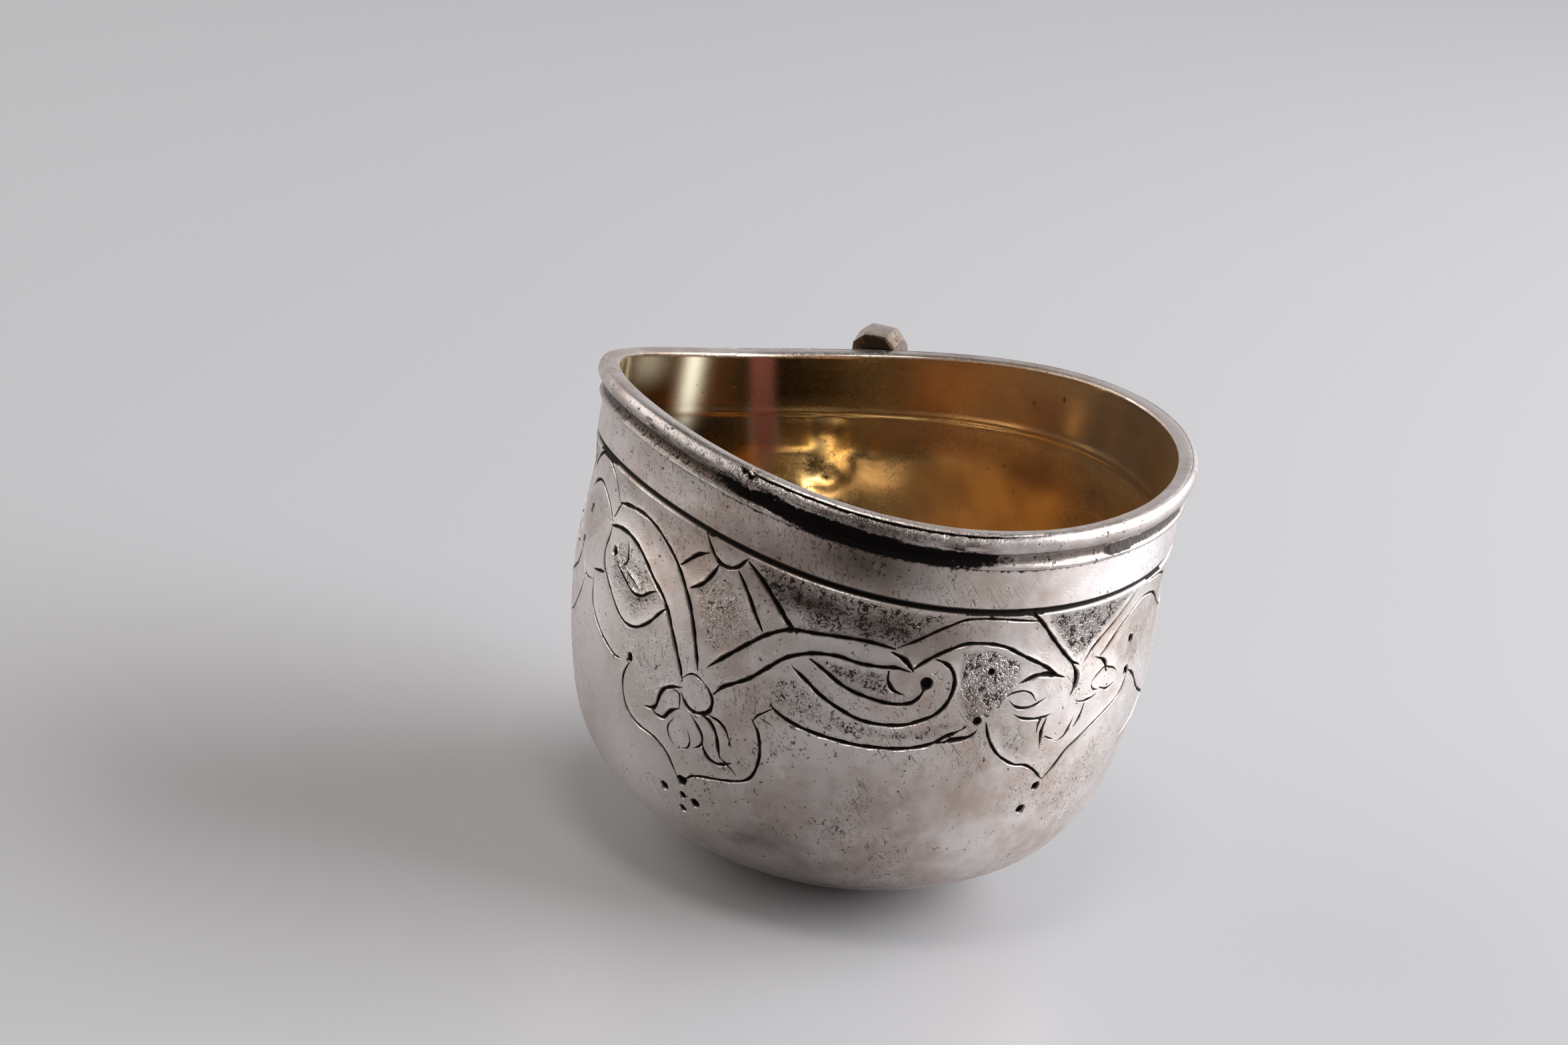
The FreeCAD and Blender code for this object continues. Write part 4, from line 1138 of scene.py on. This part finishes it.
class Wire:
    """The wire bent round the lip: rows of points along it, one for each corner of its section.

    The level is a point's depth below the rim before any wear."""

    def __init__(self):
        self.angles = wire_angles()
        self.opening = seam_share(self.angles % FULL_TURN)
        tight, slack = wire_section(0.0), wire_section(1.0)
        section = tight[:, None] + (slack - tight)[:, None] * self.opening[None, :, None]
        self.radius, self.depth = section[..., 0].copy(), section[..., 1].copy()
        self.level = self.depth.copy()
        self.row = np.arange(len(tight))[:, None]
        self.turn = np.broadcast_to(self.angles[None], self.radius.shape).copy()
        self.round_angle = self.turn % FULL_TURN
        self.groove = np.exp(-((self.level - 2.55) / 0.62) ** 4)
        self.bead_edge = np.exp(-((self.level - BEAD_HEIGHT - 0.2 * self.opening) / 0.16) ** 2)
        self.worn = 0.2 + 0.8 * self.band(234.0, 270.0, 16.0)

    def band(self, start, end, soft):
        """1 between two angles, 0 elsewhere."""
        return at_angle_band(self.round_angle, start, end, soft)

    def places(self):
        """Where the points lie."""
        return on_ring(self.turn, self.radius, CUP_HEIGHT - self.depth)

    def fill_groove(self):
        """Dirt fills stretches of the groove."""
        self.filled = np.zeros(len(self.angles))
        for start, end, fullness in FILLED:
            self.filled = np.maximum(self.filled, fullness * self.band(start, end, 1.2)[0])
        self.radius += self.groove * self.filled * (GROOVE_DEPTH * 0.85)

    def wear(self):
        """Hands and spoons have worn it soft, and chipped the bead."""
        base = self.places().reshape(-1, 3)
        soft, fine, grit = [
            rough(base, size, seed).reshape(self.radius.shape)
            for size, seed in ((5.0, 4.4), (0.9, 9.7), (0.35, 3.9))
        ]
        outward = np.clip((self.radius - COLLAR_RADIUS - 0.1) / 0.4, 0, 1)
        self.radius -= outward * (0.05 + 0.05 * soft + self.worn * 0.06 * np.clip(fine, 0, 1))
        self.radius -= outward * self.worn * 0.015 * np.clip(grit, 0, 1)
        self.radius += self.groove * self.filled * 0.1 * grit
        self.chip = np.zeros(self.radius.shape)
        for at_angle, at_depth, size, deep in CHIPS:
            across = (self.round_angle - at_angle) * MM_PER_DEGREE
            stretch = np.where(at_depth > 1.2, 0.55, 1.0)
            gap = np.hypot(across * stretch, (self.level - at_depth) * 1.5) / size
            self.chip += deep * np.clip(1.15 - gap ** 2 + 0.5 * grit, 0, 1) * (gap < 1.4)
        self.radius -= self.chip * outward
        self.depth += 0.02 + 0.03 * soft * (self.level < WIRE_HEIGHT - 0.5)
        self.depth -= self.bead_edge * self.worn * 0.16 * (fine + 0.5 * grit)
        top_edge = np.clip(1.6 - abs(self.row - 2.5), 0, 1)
        self.depth += top_edge * self.opening * 0.06 * (fine + grit)

    def bend_ends(self, reach=1.2):
        """The two ends don't meet squarely."""
        lean = 0.35 * np.sin(2.1 * self.level) + 0.25 * (self.level - 0.8)
        from_start = np.clip(1 - (self.angles - self.angles[0]) / reach, 0, 1)
        from_end = np.clip(1 - (self.angles[-1] - self.angles) / reach, 0, 1)
        self.turn += lean * (from_start + from_end)

    def grime(self):
        """Black grime and painted shade: in the groove and along the lower edge at the front,
        under the bead, beneath the wire, in the chips and in the open seam.
        """
        front = self.band(238.0, 281.0, 14.0)
        clear = 1 - 0.8 * np.clip(self.filled * 1.3, 0, 1)
        amount = self.groove * front * clear + (self.level > WIRE_HEIGHT - 0.04)
        amount += 0.8 * self.band(252.0, 276.0, 12.0) * (self.level > 3.1)
        amount += 0.4 * self.bead_edge * front + 1.6 * self.chip
        return np.clip(amount + (self.row < 3) * self.opening, 0, 1)

    def tarnish(self):
        """Brown: patina and painted shade in the groove, heavier at the left, the wall's tarnish
        and painted shade, painted shade over the right side, and streaks along the bead.
        """
        at_left = self.band(195.0, 250.0, 20.0)
        streak_place = np.stack([self.turn * 0.25, self.level * 5.0, 0 * self.level], -1)
        streaks = rough(streak_place.reshape(-1, 3), 1.0, 12.3).reshape(self.level.shape)
        bead_face = np.clip((self.level - 0.7) / 0.4, 0, 1) * (self.level < BEAD_HEIGHT + 0.3)
        streaked = bead_face * self.band(206.0, 280.0, 10.0)
        return np.max([
            spread_over(TARNISH_AND_PAINTED_SHADE_PLACES, self.round_angle, -5.0),
            self.groove * (0.85 + 0.6 * at_left),
            0.3 * self.band(290.0, 345.0, 10.0),
            streaked * np.clip(0.55 + 0.9 * streaks, 0, 0.9),
        ], axis=0)


def make_wire():
    """The wire open at its butt joint, filled, worn and chipped."""
    wire = Wire()
    wire.fill_groove()
    wire.wear()
    wire.bend_ends()
    dirt = np.clip(wire.groove * wire.filled * 1.6, 0, 1)
    rows = (wire.places(), wire.grime(), wire.tarnish(), dirt, 0.45 * wire.worn)
    loop, grime, tarnish, dirt, matted = [np.concatenate([item, item[:1]]) for item in rows]
    sheet = Sheet("grime", "tarnish", "dirt", "matted")
    index = sheet.add_grid(
        loop, closed=False, grime=grime, tarnish=tarnish, dirt=dirt, matted=matted
    )
    for column, step in ((0, 1), (-1, -1)):
        sheet.add_faces([tuple(index[:-1, column][::step].tolist())])
    return sheet.make("rim_wire", merge=WIRE_WELD)


# The handle: the bar's own solid, its edges worn round and its faces hammered

HANDLE_GRAIN = 0.14
HANDLE_WEAR = 0.10
RELAX_SHARE = 0.5
RELAX_TIMES = 3


def even_mesh(piece):
    """The bar cut again into small even faces, which rounds its edges a little."""
    work = bmesh.new()
    work.from_mesh(piece.data)
    bmesh.ops.remove_doubles(work, verts=work.verts, dist=HANDLE_WELD * MM)
    work.to_mesh(piece.data)
    work.free()
    remesh = piece.modifiers.new("even_faces", "REMESH")
    remesh.mode = "VOXEL"
    remesh.voxel_size = HANDLE_GRAIN * MM
    relax = piece.modifiers.new("worn_edges", "SMOOTH")
    relax.factor = RELAX_SHARE
    relax.iterations = RELAX_TIMES
    graph = bpy.context.evaluated_depsgraph_get()
    mesh = bpy.data.meshes.new_from_object(piece.evaluated_get(graph))
    piece.modifiers.clear()
    return mesh


def make_handle():
    """The bar with its edges worn round and hammered, painted dark as shade on the faces towards
    the bowl, and darker with grime and shade near the bowl.
    """
    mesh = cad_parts["handle"].data.copy()
    mesh.materials.clear()
    piece = bpy.data.objects.new("loop_handle", mesh)
    bpy.context.scene.collection.objects.link(piece)
    final = even_mesh(piece)
    piece.data = final

    points = np.empty(len(final.vertices) * 3)
    final.vertices.foreach_get("co", points)
    points = points.reshape(-1, 3) / MM
    normals = np.array([tuple(vertex.normal) for vertex in final.vertices])
    uneven = 0.6 * rough(points, 3.2, 2.2) + 0.4 * rough(points, 1.3, 6.1)
    worn = points - normals * (HANDLE_WEAR * np.clip(0.35 + uneven, 0, 1))[:, None]
    final.vertices.foreach_set("co", (worn * MM).reshape(-1))
    radius = np.hypot(points[:, 0], points[:, 1])
    near_bowl = np.clip(1 - (radius - BEAD_RADIUS + 0.4) / 1.1, 0, 1)
    outward = points[:, :2] / radius[:, None]
    towards_bowl = -(normals[:, :2] * outward).sum(1)
    # Painted shade on the faces that turn towards the bowl
    painted_shade_towards_bowl = np.clip((towards_bowl - 0.05) / 0.35, 0, 1)
    for name, amounts in (("grime", near_bowl), ("tarnish", painted_shade_towards_bowl)):
        values = final.attributes.new(name, "FLOAT", "POINT")
        values.data.foreach_set("value", amounts.astype(np.float32))
    final.polygons.foreach_set("use_smooth", [True] * len(final.polygons))
    final.update()
    return piece


# Finishes

# Relief of the silver and of the gilding, in metres, and how little the patina shines
SILVER_RELIEF = 0.00007
GILDING_RELIEF = 0.00002
PATINA_SHINE = 0.15


def add(tree, kind, inputs=None, **settings):
    """A node with its settings and inputs: an input is a number, a colour or a socket."""
    node = tree.nodes.new(kind)
    for name, value in settings.items():
        setattr(node, name, value)
    for name, value in (inputs or {}).items():
        if isinstance(value, bpy.types.NodeSocket):
            tree.links.new(value, node.inputs[name])
        else:
            node.inputs[name].default_value = value
    return node


def math_node(tree, operation, first, second=0.0, clamp=False):
    """One sum on two values."""
    return add(tree, "ShaderNodeMath", {0: first, 1: second},
               operation=operation, use_clamp=clamp).outputs[0]


def scaled(tree, value, factor):
    """A value times a factor."""
    return math_node(tree, "MULTIPLY", value, factor)


def centred(tree, value, amount):
    """A noise value moved so that it swings about 0, times an amount."""
    return scaled(tree, math_node(tree, "SUBTRACT", value, 0.5), amount)


def total(tree, start, *terms):
    """A start plus each value times its weight."""
    for value, weight in terms:
        start = math_node(tree, "ADD", start, scaled(tree, value, weight))
    return start


def strongest(tree, first, *others):
    """The largest of several values."""
    for other in others:
        first = math_node(tree, "MAXIMUM", first, other)
    return first


def ramp(tree, value, low, high):
    """0 below low, 1 above high, smooth between."""
    return add(tree, "ShaderNodeMapRange", {"Value": value, "From Min": low, "From Max": high},
               interpolation_type="SMOOTHSTEP").outputs["Result"]


def blend(tree, share, first, second):
    """A mix of two colours."""
    return add(tree, "ShaderNodeMix", {0: share, 6: first, 7: second}, data_type="RGBA").outputs[2]


def attribute(tree, name):
    """A value that the mesh carries at its points."""
    return add(tree, "ShaderNodeAttribute", attribute_name=name).outputs["Fac"]


def new_group(name, inputs, outputs):
    """An empty node group with named inputs and outputs; returns it with its two ends."""
    group = bpy.data.node_groups.new(name, "ShaderNodeTree")
    for socket, kind in inputs:
        group.interface.new_socket(socket, in_out="INPUT", socket_type="NodeSocket" + kind)
    for socket, kind in outputs:
        group.interface.new_socket(socket, in_out="OUTPUT", socket_type="NodeSocket" + kind)
    return group, group.nodes.new("NodeGroupInput").outputs, group.nodes.new("NodeGroupOutput")


def place_group(tree, group, **inputs):
    """A node group put to use in a tree; returns its outputs."""
    return add(tree, "ShaderNodeGroup", inputs, node_tree=group).outputs


def noise_at(tree, place, scale, detail=3.0, roughness=0.55, stretch=None, turn=None):
    """A noise value at a place; stretch and turn lay its grain in one direction."""
    if stretch:
        place = add(tree, "ShaderNodeMapping", {
            "Vector": place, "Rotation": turn or (0, 0, 0),
            "Scale": [1 / amount for amount in stretch],
        }, vector_type="TEXTURE").outputs[0]
    node = add(tree, "ShaderNodeTexNoise", {
        "Vector": place, "Scale": scale, "Detail": detail, "Roughness": roughness,
    })
    return node.outputs["Fac"]


def lines_in_turns(group, place, scale, detail, turns, low, high, roughness=0.5):
    """Thin lines of noise laid in several directions; each turn comes with its stretch."""
    lines = [
        ramp(group, noise_at(group, place, scale, detail, roughness, stretch, turn), low, high)
        for turn, stretch in turns
    ]
    return strongest(group, *lines)


def scratches_group():
    """Fine scratches in several directions, as left by years of polishing."""
    group, ins, out = new_group(
        "fine scratches", [("Place", "Vector"), ("Scale", "Float")], [("Scratches", "Float")]
    )
    turns = (
        ((0.3, 0.2, 0.5), (1, 22, 9)), ((1.1, 0.7, 0.2), (22, 1, 9)),
        ((0.6, 1.9, 1.2), (9, 22, 1)), ((2.1, 0.4, 2.2), (1, 9, 22)),
    )
    lines = lines_in_turns(group, ins["Place"], ins["Scale"], 1.0, turns, 0.66, 0.72, 0.4)
    group.links.new(lines, out.inputs["Scratches"])
    return group


def specks_group():
    """Small dark pits where the surface has corroded, thick in some places."""
    group, ins, out = new_group(
        "corroded specks",
        [("Place", "Vector"), ("Scale", "Float"), ("Amount", "Float")],
        [("Specks", "Float")],
    )
    fine = noise_at(group, ins["Place"], ins["Scale"], 2.0, 0.6)
    clumps = noise_at(group, ins["Place"], 560.0, 2.0, 0.5, (2.2, 2.2, 1))
    patches = noise_at(group, ins["Place"], 140.0, 2.0, 0.5)
    gathered = math_node(group, "ADD", centred(group, patches, 0.3), centred(group, clumps, 0.5))
    level = total(group, fine, (gathered, 1.0), (ins["Amount"], 0.2))
    group.links.new(ramp(group, level, 0.69, 0.8), out.inputs["Specks"])
    return group


def grains_group():
    """Ground worked with a small punch: short curved black lines between soft bumps."""
    group, ins, out = new_group(
        "punched ground", [("Place", "Vector"), ("Amount", "Float")],
        [("Lines", "Float"), ("Height", "Float")],
    )
    curves = noise_at(group, ins["Place"], 1850.0, 2.0, 0.5)
    away = math_node(group, "ABSOLUTE", math_node(group, "SUBTRACT", curves, 0.5))
    breaks = noise_at(group, ins["Place"], 950.0, 2.0, 0.5)
    width = scaled(group, ins["Amount"], math_node(group, "SUBTRACT", breaks, 0.36))
    line = math_node(group, "SUBTRACT", scaled(group, width, 0.31), away)
    line = math_node(group, "MULTIPLY", line, 60.0, clamp=True)
    group.links.new(line, out.inputs["Lines"])
    bumps = scaled(group, math_node(group, "MINIMUM", away, 0.12), 9.0)
    group.links.new(scaled(group, bumps, ins["Amount"]), out.inputs["Height"])
    return group


def nicks_group():
    """Short dark scratches, a millimetre or two long, here and there."""
    group, ins, out = new_group("dark nicks", [("Place", "Vector")], [("Nicks", "Float")])
    turns = (
        ((0.4, 0.9, 0.3), (1, 14, 14)), ((1.3, 0.2, 1.0), (14, 1, 14)),
        ((0.2, 1.6, 2.0), (14, 14, 1)),
    )
    lines = lines_in_turns(group, ins["Place"], 300.0, 0.0, turns, 0.705, 0.745)
    patches = ramp(group, noise_at(group, ins["Place"], 120.0, 1.0, 0.5), 0.45, 0.6)
    group.links.new(scaled(group, lines, patches), out.inputs["Nicks"])
    return group


def tone_group():
    """Slow changes of tone in old silver, from cool grey to a warm tarnish."""
    group, ins, out = new_group(
        "old silver tone",
        [("Place", "Vector"), ("Silver", "Color"), ("Tarnish", "Color")], [("Tone", "Color")],
    )
    slow = noise_at(group, ins["Place"], 90.0, 3.0, 0.6)
    fine = noise_at(group, ins["Place"], 700.0, 2.0, 0.5)
    level = total(group, scaled(group, slow, 0.75), (fine, 0.25))
    mixed = blend(group, ramp(group, level, 0.38, 0.66), ins["Silver"], ins["Tarnish"])
    group.links.new(mixed, out.inputs["Tone"])
    return group


SCRATCHES = scratches_group()
SPECKS = specks_group()
TONE = tone_group()
GRAINS = grains_group()
NICKS = nicks_group()

Finish = namedtuple("Finish", "silver tarnish patina shade roughness specks")
BODY_SILVER = Finish(
    silver=(0.73, 0.67, 0.64, 1), tarnish=(0.51, 0.41, 0.35, 1),
    patina=(0.018, 0.014, 0.012, 1), shade=(0.08, 0.058, 0.046, 1), roughness=0.25, specks=0.05,
)
WIRE_SILVER = Finish(
    silver=(0.70, 0.645, 0.62, 1), tarnish=(0.48, 0.40, 0.36, 1),
    patina=(0.006, 0.0045, 0.004, 1), shade=(0.08, 0.058, 0.046, 1), roughness=0.28, specks=0.1,
)
# The handle's shade colour is a warm painted shade, with a painted reflection of the gilding
HANDLE_SILVER = Finish(
    silver=(0.56, 0.49, 0.45, 1), tarnish=(0.30, 0.19, 0.11, 1),
    patina=(0.035, 0.022, 0.014, 1), shade=(0.12, 0.07, 0.035, 1), roughness=0.26, specks=0.2,
)
POLISHED_AND_PAINTED_LIGHT_SILVER = (0.90, 0.87, 0.86, 1)
DIRT = (0.085, 0.07, 0.062, 1)
LIP_GOLD = (0.50, 0.33, 0.17, 1)

GOLD = (0.70, 0.59, 0.38, 1)
WORN_GOLD = (0.58, 0.43, 0.25, 1)
# Colours of the painted reflections and the painted highlight in the gilding
PAINTED_DARK_REFLECTION_GOLD = (0.055, 0.045, 0.028, 1)
PAINTED_RED_REFLECTION_GOLD = (0.27, 0.095, 0.065, 1)
AMBER_GOLD = (0.45, 0.20, 0.045, 1)
BROWN_GOLD = (0.27, 0.105, 0.028, 1)
PAINTED_HIGHLIGHT_GOLD = (0.96, 0.90, 0.70, 1)
SPECK_GOLD = (0.09, 0.045, 0.02, 1)

TABLE = (0.385, 0.377, 0.384, 1)
PALE_TABLE = (0.41, 0.402, 0.409, 1)
TABLE_ROUGHNESS = 0.42


def new_material(name):
    """An empty material; returns it with its node tree and the place on the piece."""
    material = bpy.data.materials.new(name)
    material.use_nodes = True
    tree = material.node_tree
    tree.nodes.clear()
    return material, tree, add(tree, "ShaderNodeTexCoord").outputs["Object"]


def add_shader(tree, inputs):
    """The shader that a material's nodes lead to."""
    shader = add(tree, "ShaderNodeBsdfPrincipled", inputs)
    output = tree.nodes.new("ShaderNodeOutputMaterial")
    tree.links.new(shader.outputs[0], output.inputs[0])


def add_bump(tree, height, strength, metres):
    """Fine relief made from a height that runs to this many metres."""
    return add(tree, "ShaderNodeBump", {
        "Strength": strength, "Distance": metres, "Height": height,
    }).outputs["Normal"]


def silver_material(name, finish):
    """Old silver: worn metal with scratches and specks, and black patina where it is cut."""
    material, tree, place = new_material(name)
    grime, matted, cut, tarnish, polish_and_painted_light, gilt, dirt = [
        attribute(tree, value)
        for value in ("grime", "matted", "cut", "tarnish", "polish_and_painted_light", "gilt", "dirt")
    ]
    tone = place_group(tree, TONE, Place=place, Silver=finish.silver, Tarnish=finish.tarnish)
    scratches = place_group(tree, SCRATCHES, Place=place, Scale=420.0)["Scratches"]
    nicks = place_group(tree, NICKS, Place=place)["Nicks"]
    amount = total(tree, finish.specks, (matted, 0.15), (tarnish, 0.5))
    specks = place_group(tree, SPECKS, Place=place, Scale=2700.0, Amount=amount)["Specks"]
    grains = place_group(tree, GRAINS, Place=place, Amount=ramp(tree, matted, 0.2, 0.9))

    # Black grime, painted shade and dirt have ragged edges: each ends where a fine grain crosses
    # its strength
    grain = noise_at(tree, place, 1900.0, 4.0, 0.65)
    ragged = centred(tree, grain, 1.1)
    grime_and_shade_black = ramp(tree, math_node(tree, "ADD", grime, ragged), 0.36, 0.66)
    crust = ramp(tree, math_node(tree, "ADD", dirt, ragged), 0.4, 0.7)
    cloud = noise_at(tree, place, 230.0, 3.0, 0.65)
    clouded = scaled(tree, tarnish, ramp(tree, cloud, 0.0, 0.5))
    dark = strongest(
        tree, ramp(tree, cut, 0.02, 0.5), scaled(tree, specks, 0.8),
        scaled(tree, grains["Lines"], 0.95), scaled(tree, nicks, 0.42), grime_and_shade_black,
    )
    # Painted light brightens the silver; the shade colour darkens it with tarnish and painted
    # shade, and the black holds patina in the cuts, grime and painted shade
    colour = blend(tree, polish_and_painted_light, tone["Tone"], POLISHED_AND_PAINTED_LIGHT_SILVER)
    for share, tint in (
        (scaled(tree, gilt, 0.7), LIP_GOLD),
        (strongest(tree, clouded, scaled(tree, matted, 0.68)), finish.shade),
        (dark, finish.patina),
        (crust, DIRT),
    ):
        colour = blend(tree, share, colour, tint)

    unevenness = noise_at(tree, place, 300.0, 3.0, 0.6)
    roughness = total(
        tree, finish.roughness, (unevenness, 0.14), (scratches, 0.08),
        (strongest(tree, dark, crust), 0.35),
    )
    metallic = scaled(tree, total(tree, 1.0, (dark, -0.25)), total(tree, 1.0, (crust, -1.0)))
    height = total(
        tree, grains["Height"], (unevenness, 0.5), (scratches, -0.14), (specks, -0.7),
        (nicks, -0.18), (crust, grain),
    )
    add_shader(tree, {
        "Base Color": colour, "Roughness": roughness, "Metallic": metallic,
        "Normal": add_bump(tree, height, 0.7, SILVER_RELIEF), "Specular IOR Level": PATINA_SHINE,
    })
    return material


def gilding_material():
    """Worn fire gilding, polished smooth, with painted reflections: darker and redder patches and
    a pale painted highlight.
    """
    material, tree, place = new_material("gilding")
    painted_dark_reflection, matted, red, amber_stain_and_painted_reflection = [
        attribute(tree, value) for value in ("tarnish", "matted", "gilt", "amber_stain_and_painted_reflection")
    ]
    slow = noise_at(tree, place, 110.0, 3.0, 0.55)
    cloud = noise_at(tree, place, 130.0, 2.0, 0.5)
    wipe = noise_at(tree, place, 240.0, 3.0, 0.6, (1, 1, 6))
    scratches = place_group(tree, SCRATCHES, Place=place, Scale=380.0)["Scratches"]
    specks = place_group(tree, SPECKS, Place=place, Scale=900.0, Amount=-0.1)["Specks"]
    colour = blend(tree, ramp(tree, slow, 0.35, 0.7), GOLD, WORN_GOLD)
    for share, tint in (
        (painted_dark_reflection, PAINTED_DARK_REFLECTION_GOLD),
        (amber_stain_and_painted_reflection, blend(tree, ramp(tree, cloud, 0.38, 0.64), AMBER_GOLD, BROWN_GOLD)),
        (red, PAINTED_RED_REFLECTION_GOLD),
        (scaled(tree, matted, 0.9), PAINTED_HIGHLIGHT_GOLD),
        (scaled(tree, specks, 0.7), SPECK_GOLD),
    ):
        colour = blend(tree, share, colour, tint)
    roughness = total(
        tree, 0.055, (wipe, 0.10), (matted, 0.34), (painted_dark_reflection, 0.16), (amber_stain_and_painted_reflection, 0.17), (scratches, 0.05)
    )
    worn_off = strongest(
        tree, scaled(tree, matted, 0.75), scaled(tree, red, 0.5), scaled(tree, amber_stain_and_painted_reflection, 0.3)
    )
    height = total(tree, scaled(tree, wipe, 0.5), (scratches, -0.25))
    add_shader(tree, {
        "Base Color": colour, "Roughness": roughness,
        "Metallic": math_node(tree, "SUBTRACT", 1.0, worn_off),
        "Normal": add_bump(tree, height, 0.3, GILDING_RELIEF),
    })
    return material


def floor_material():
    """A smooth pale table with a soft sheen."""
    material, tree, place = new_material("pale_table")
    cloud = noise_at(tree, place, 3.0, 2.0, 0.5)
    add_shader(tree, {
        "Base Color": blend(tree, cloud, TABLE, PALE_TABLE), "Roughness": TABLE_ROUGHNESS,
    })
    return material


# The room: floor, lamps and camera

FLOOR_SIZE = 6.0
CAMERA_PLACE = Vector((-58.091, -433.498, 188.939)) * MM
CAMERA_AIM = Vector((-8.51, 12.08, 31.99)) * MM
CAMERA_ROLL = 10.4
LENS = 100.0
SENSOR = 36.0
NEAREST = 0.01
ROOM_COLOUR = (0.60, 0.59, 0.60, 1)
FRONT_COLOUR = (0.085, 0.065, 0.055, 1)
CEILING_COLOUR = (0.075, 0.068, 0.06, 1)
RIGHT_COLOUR = (1.0, 1.02, 1.07, 1)
FRONT_ANGLE = 250.0
RIGHT_ANGLE = 352.0

# Places, aims and sizes of the lamps are in metres and their power is in watts
Lamp = namedtuple("Lamp", "name place aim width height power colour")
LAMPS = [
    Lamp("window", (0.66, 0.08, 0.41), (0.05, 0, 0.02), 0.8, 0.6, 12.8, (0.97, 1.0, 1.04)),
    Lamp("left_sheet", (-0.75, 0.10, 0.38), (0, 0, 0.03), 1.0, 0.8, 4.7, (1.0, 0.96, 0.93)),
    Lamp("high_sheet", (-0.10, -0.33, 0.95), (0, 0, 0), 0.25, 0.25, 2.4, (1.0, 0.99, 0.97)),
]


def make_floor():
    """The table, wide enough to fill the view."""
    mesh = bpy.data.meshes.new("floor")
    half = FLOOR_SIZE / 2
    mesh.from_pydata(
        [(-half, -half, 0), (half, -half, 0), (half, half, 0), (-half, half, 0)],
        [], [(0, 1, 2, 3)],
    )
    floor = bpy.data.objects.new("floor", mesh)
    bpy.context.scene.collection.objects.link(floor)
    mesh.materials.append(floor_material())


def make_world():
    """A pale room: bright on the right, dark above and where the photographer stands."""
    world = bpy.data.worlds.new("soft_room")
    world.use_nodes = True
    tree = world.node_tree
    way = add(tree, "ShaderNodeTexCoord").outputs["Generated"]

    def facing(angle, lift=0.0):
        """How squarely a way out of the room faces an angle and a lift in degrees."""
        turn, rise = math.radians(angle), math.radians(lift)
        ahead = (math.cos(turn) * math.cos(rise), math.sin(turn) * math.cos(rise), math.sin(rise))
        return add(tree, "ShaderNodeVectorMath", {0: way, 1: ahead},
                   operation="DOT_PRODUCT").outputs["Value"]

    colour = blend(tree, ramp(tree, facing(0, 90), 0.5, 0.75), ROOM_COLOUR, CEILING_COLOUR)
    above_table = ramp(tree, facing(0, 90), 0.1, 0.2)
    in_front = ramp(tree, facing(FRONT_ANGLE), 0.15, 0.8)
    front = math_node(tree, "MULTIPLY", in_front, above_table)
    colour = blend(tree, front, colour, FRONT_COLOUR)
    colour = blend(tree, ramp(tree, facing(RIGHT_ANGLE, 8), 0.72, 0.95), colour, RIGHT_COLOUR)
    background = tree.nodes["Background"]
    tree.links.new(colour, background.inputs["Color"])
    bpy.context.scene.world = world


def make_lamps():
    """The window on the right, and pale sheets on the left and high in front."""
    for lamp in LAMPS:
        data = bpy.data.lights.new(lamp.name, "AREA")
        data.shape = "RECTANGLE"
        data.size, data.size_y = lamp.width, lamp.height
        data.energy = lamp.power
        data.color = lamp.colour
        piece = bpy.data.objects.new(lamp.name, data)
        piece.location = lamp.place
        aim = Vector(lamp.aim) - Vector(lamp.place)
        piece.rotation_euler = aim.to_track_quat("-Z", "Y").to_euler()
        bpy.context.scene.collection.objects.link(piece)


def make_camera():
    """The photographer's view: from in front and above, the camera turned a little."""
    data = bpy.data.cameras.new("camera")
    data.lens = LENS
    data.sensor_width = SENSOR
    data.clip_start = NEAREST
    camera = bpy.data.objects.new("camera", data)
    level = (CAMERA_AIM - CAMERA_PLACE).to_track_quat("-Z", "Y").to_matrix()
    turn = Matrix.Rotation(math.radians(CAMERA_ROLL), 3, "Z")
    camera.matrix_world = Matrix.Translation(CAMERA_PLACE) @ (level @ turn).to_4x4()
    bpy.context.scene.collection.objects.link(camera)
    bpy.context.scene.camera = camera


def dress(piece, node, slot, *materials):
    """Give a piece its materials, and let it stand for its CAD node."""
    for material in materials:
        piece.data.materials.append(material)
    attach(piece, "root")
    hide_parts(node)


bpy.context.scene.view_settings.view_transform = "Standard"
make_floor()
make_world()
make_lamps()
make_camera()

dress(
    make_bowl(), "bowl", "engraved_silver",
    silver_material("engraved_silver", BODY_SILVER), gilding_material(),
)
dress(
    make_wire(), "rim_moulding", "moulded_wire",
    silver_material("wire_silver", WIRE_SILVER),
)
dress(
    make_handle(), "handle", "cast_silver",
    silver_material("handle_silver", HANDLE_SILVER),
)

bpy.context.view_layer.update()
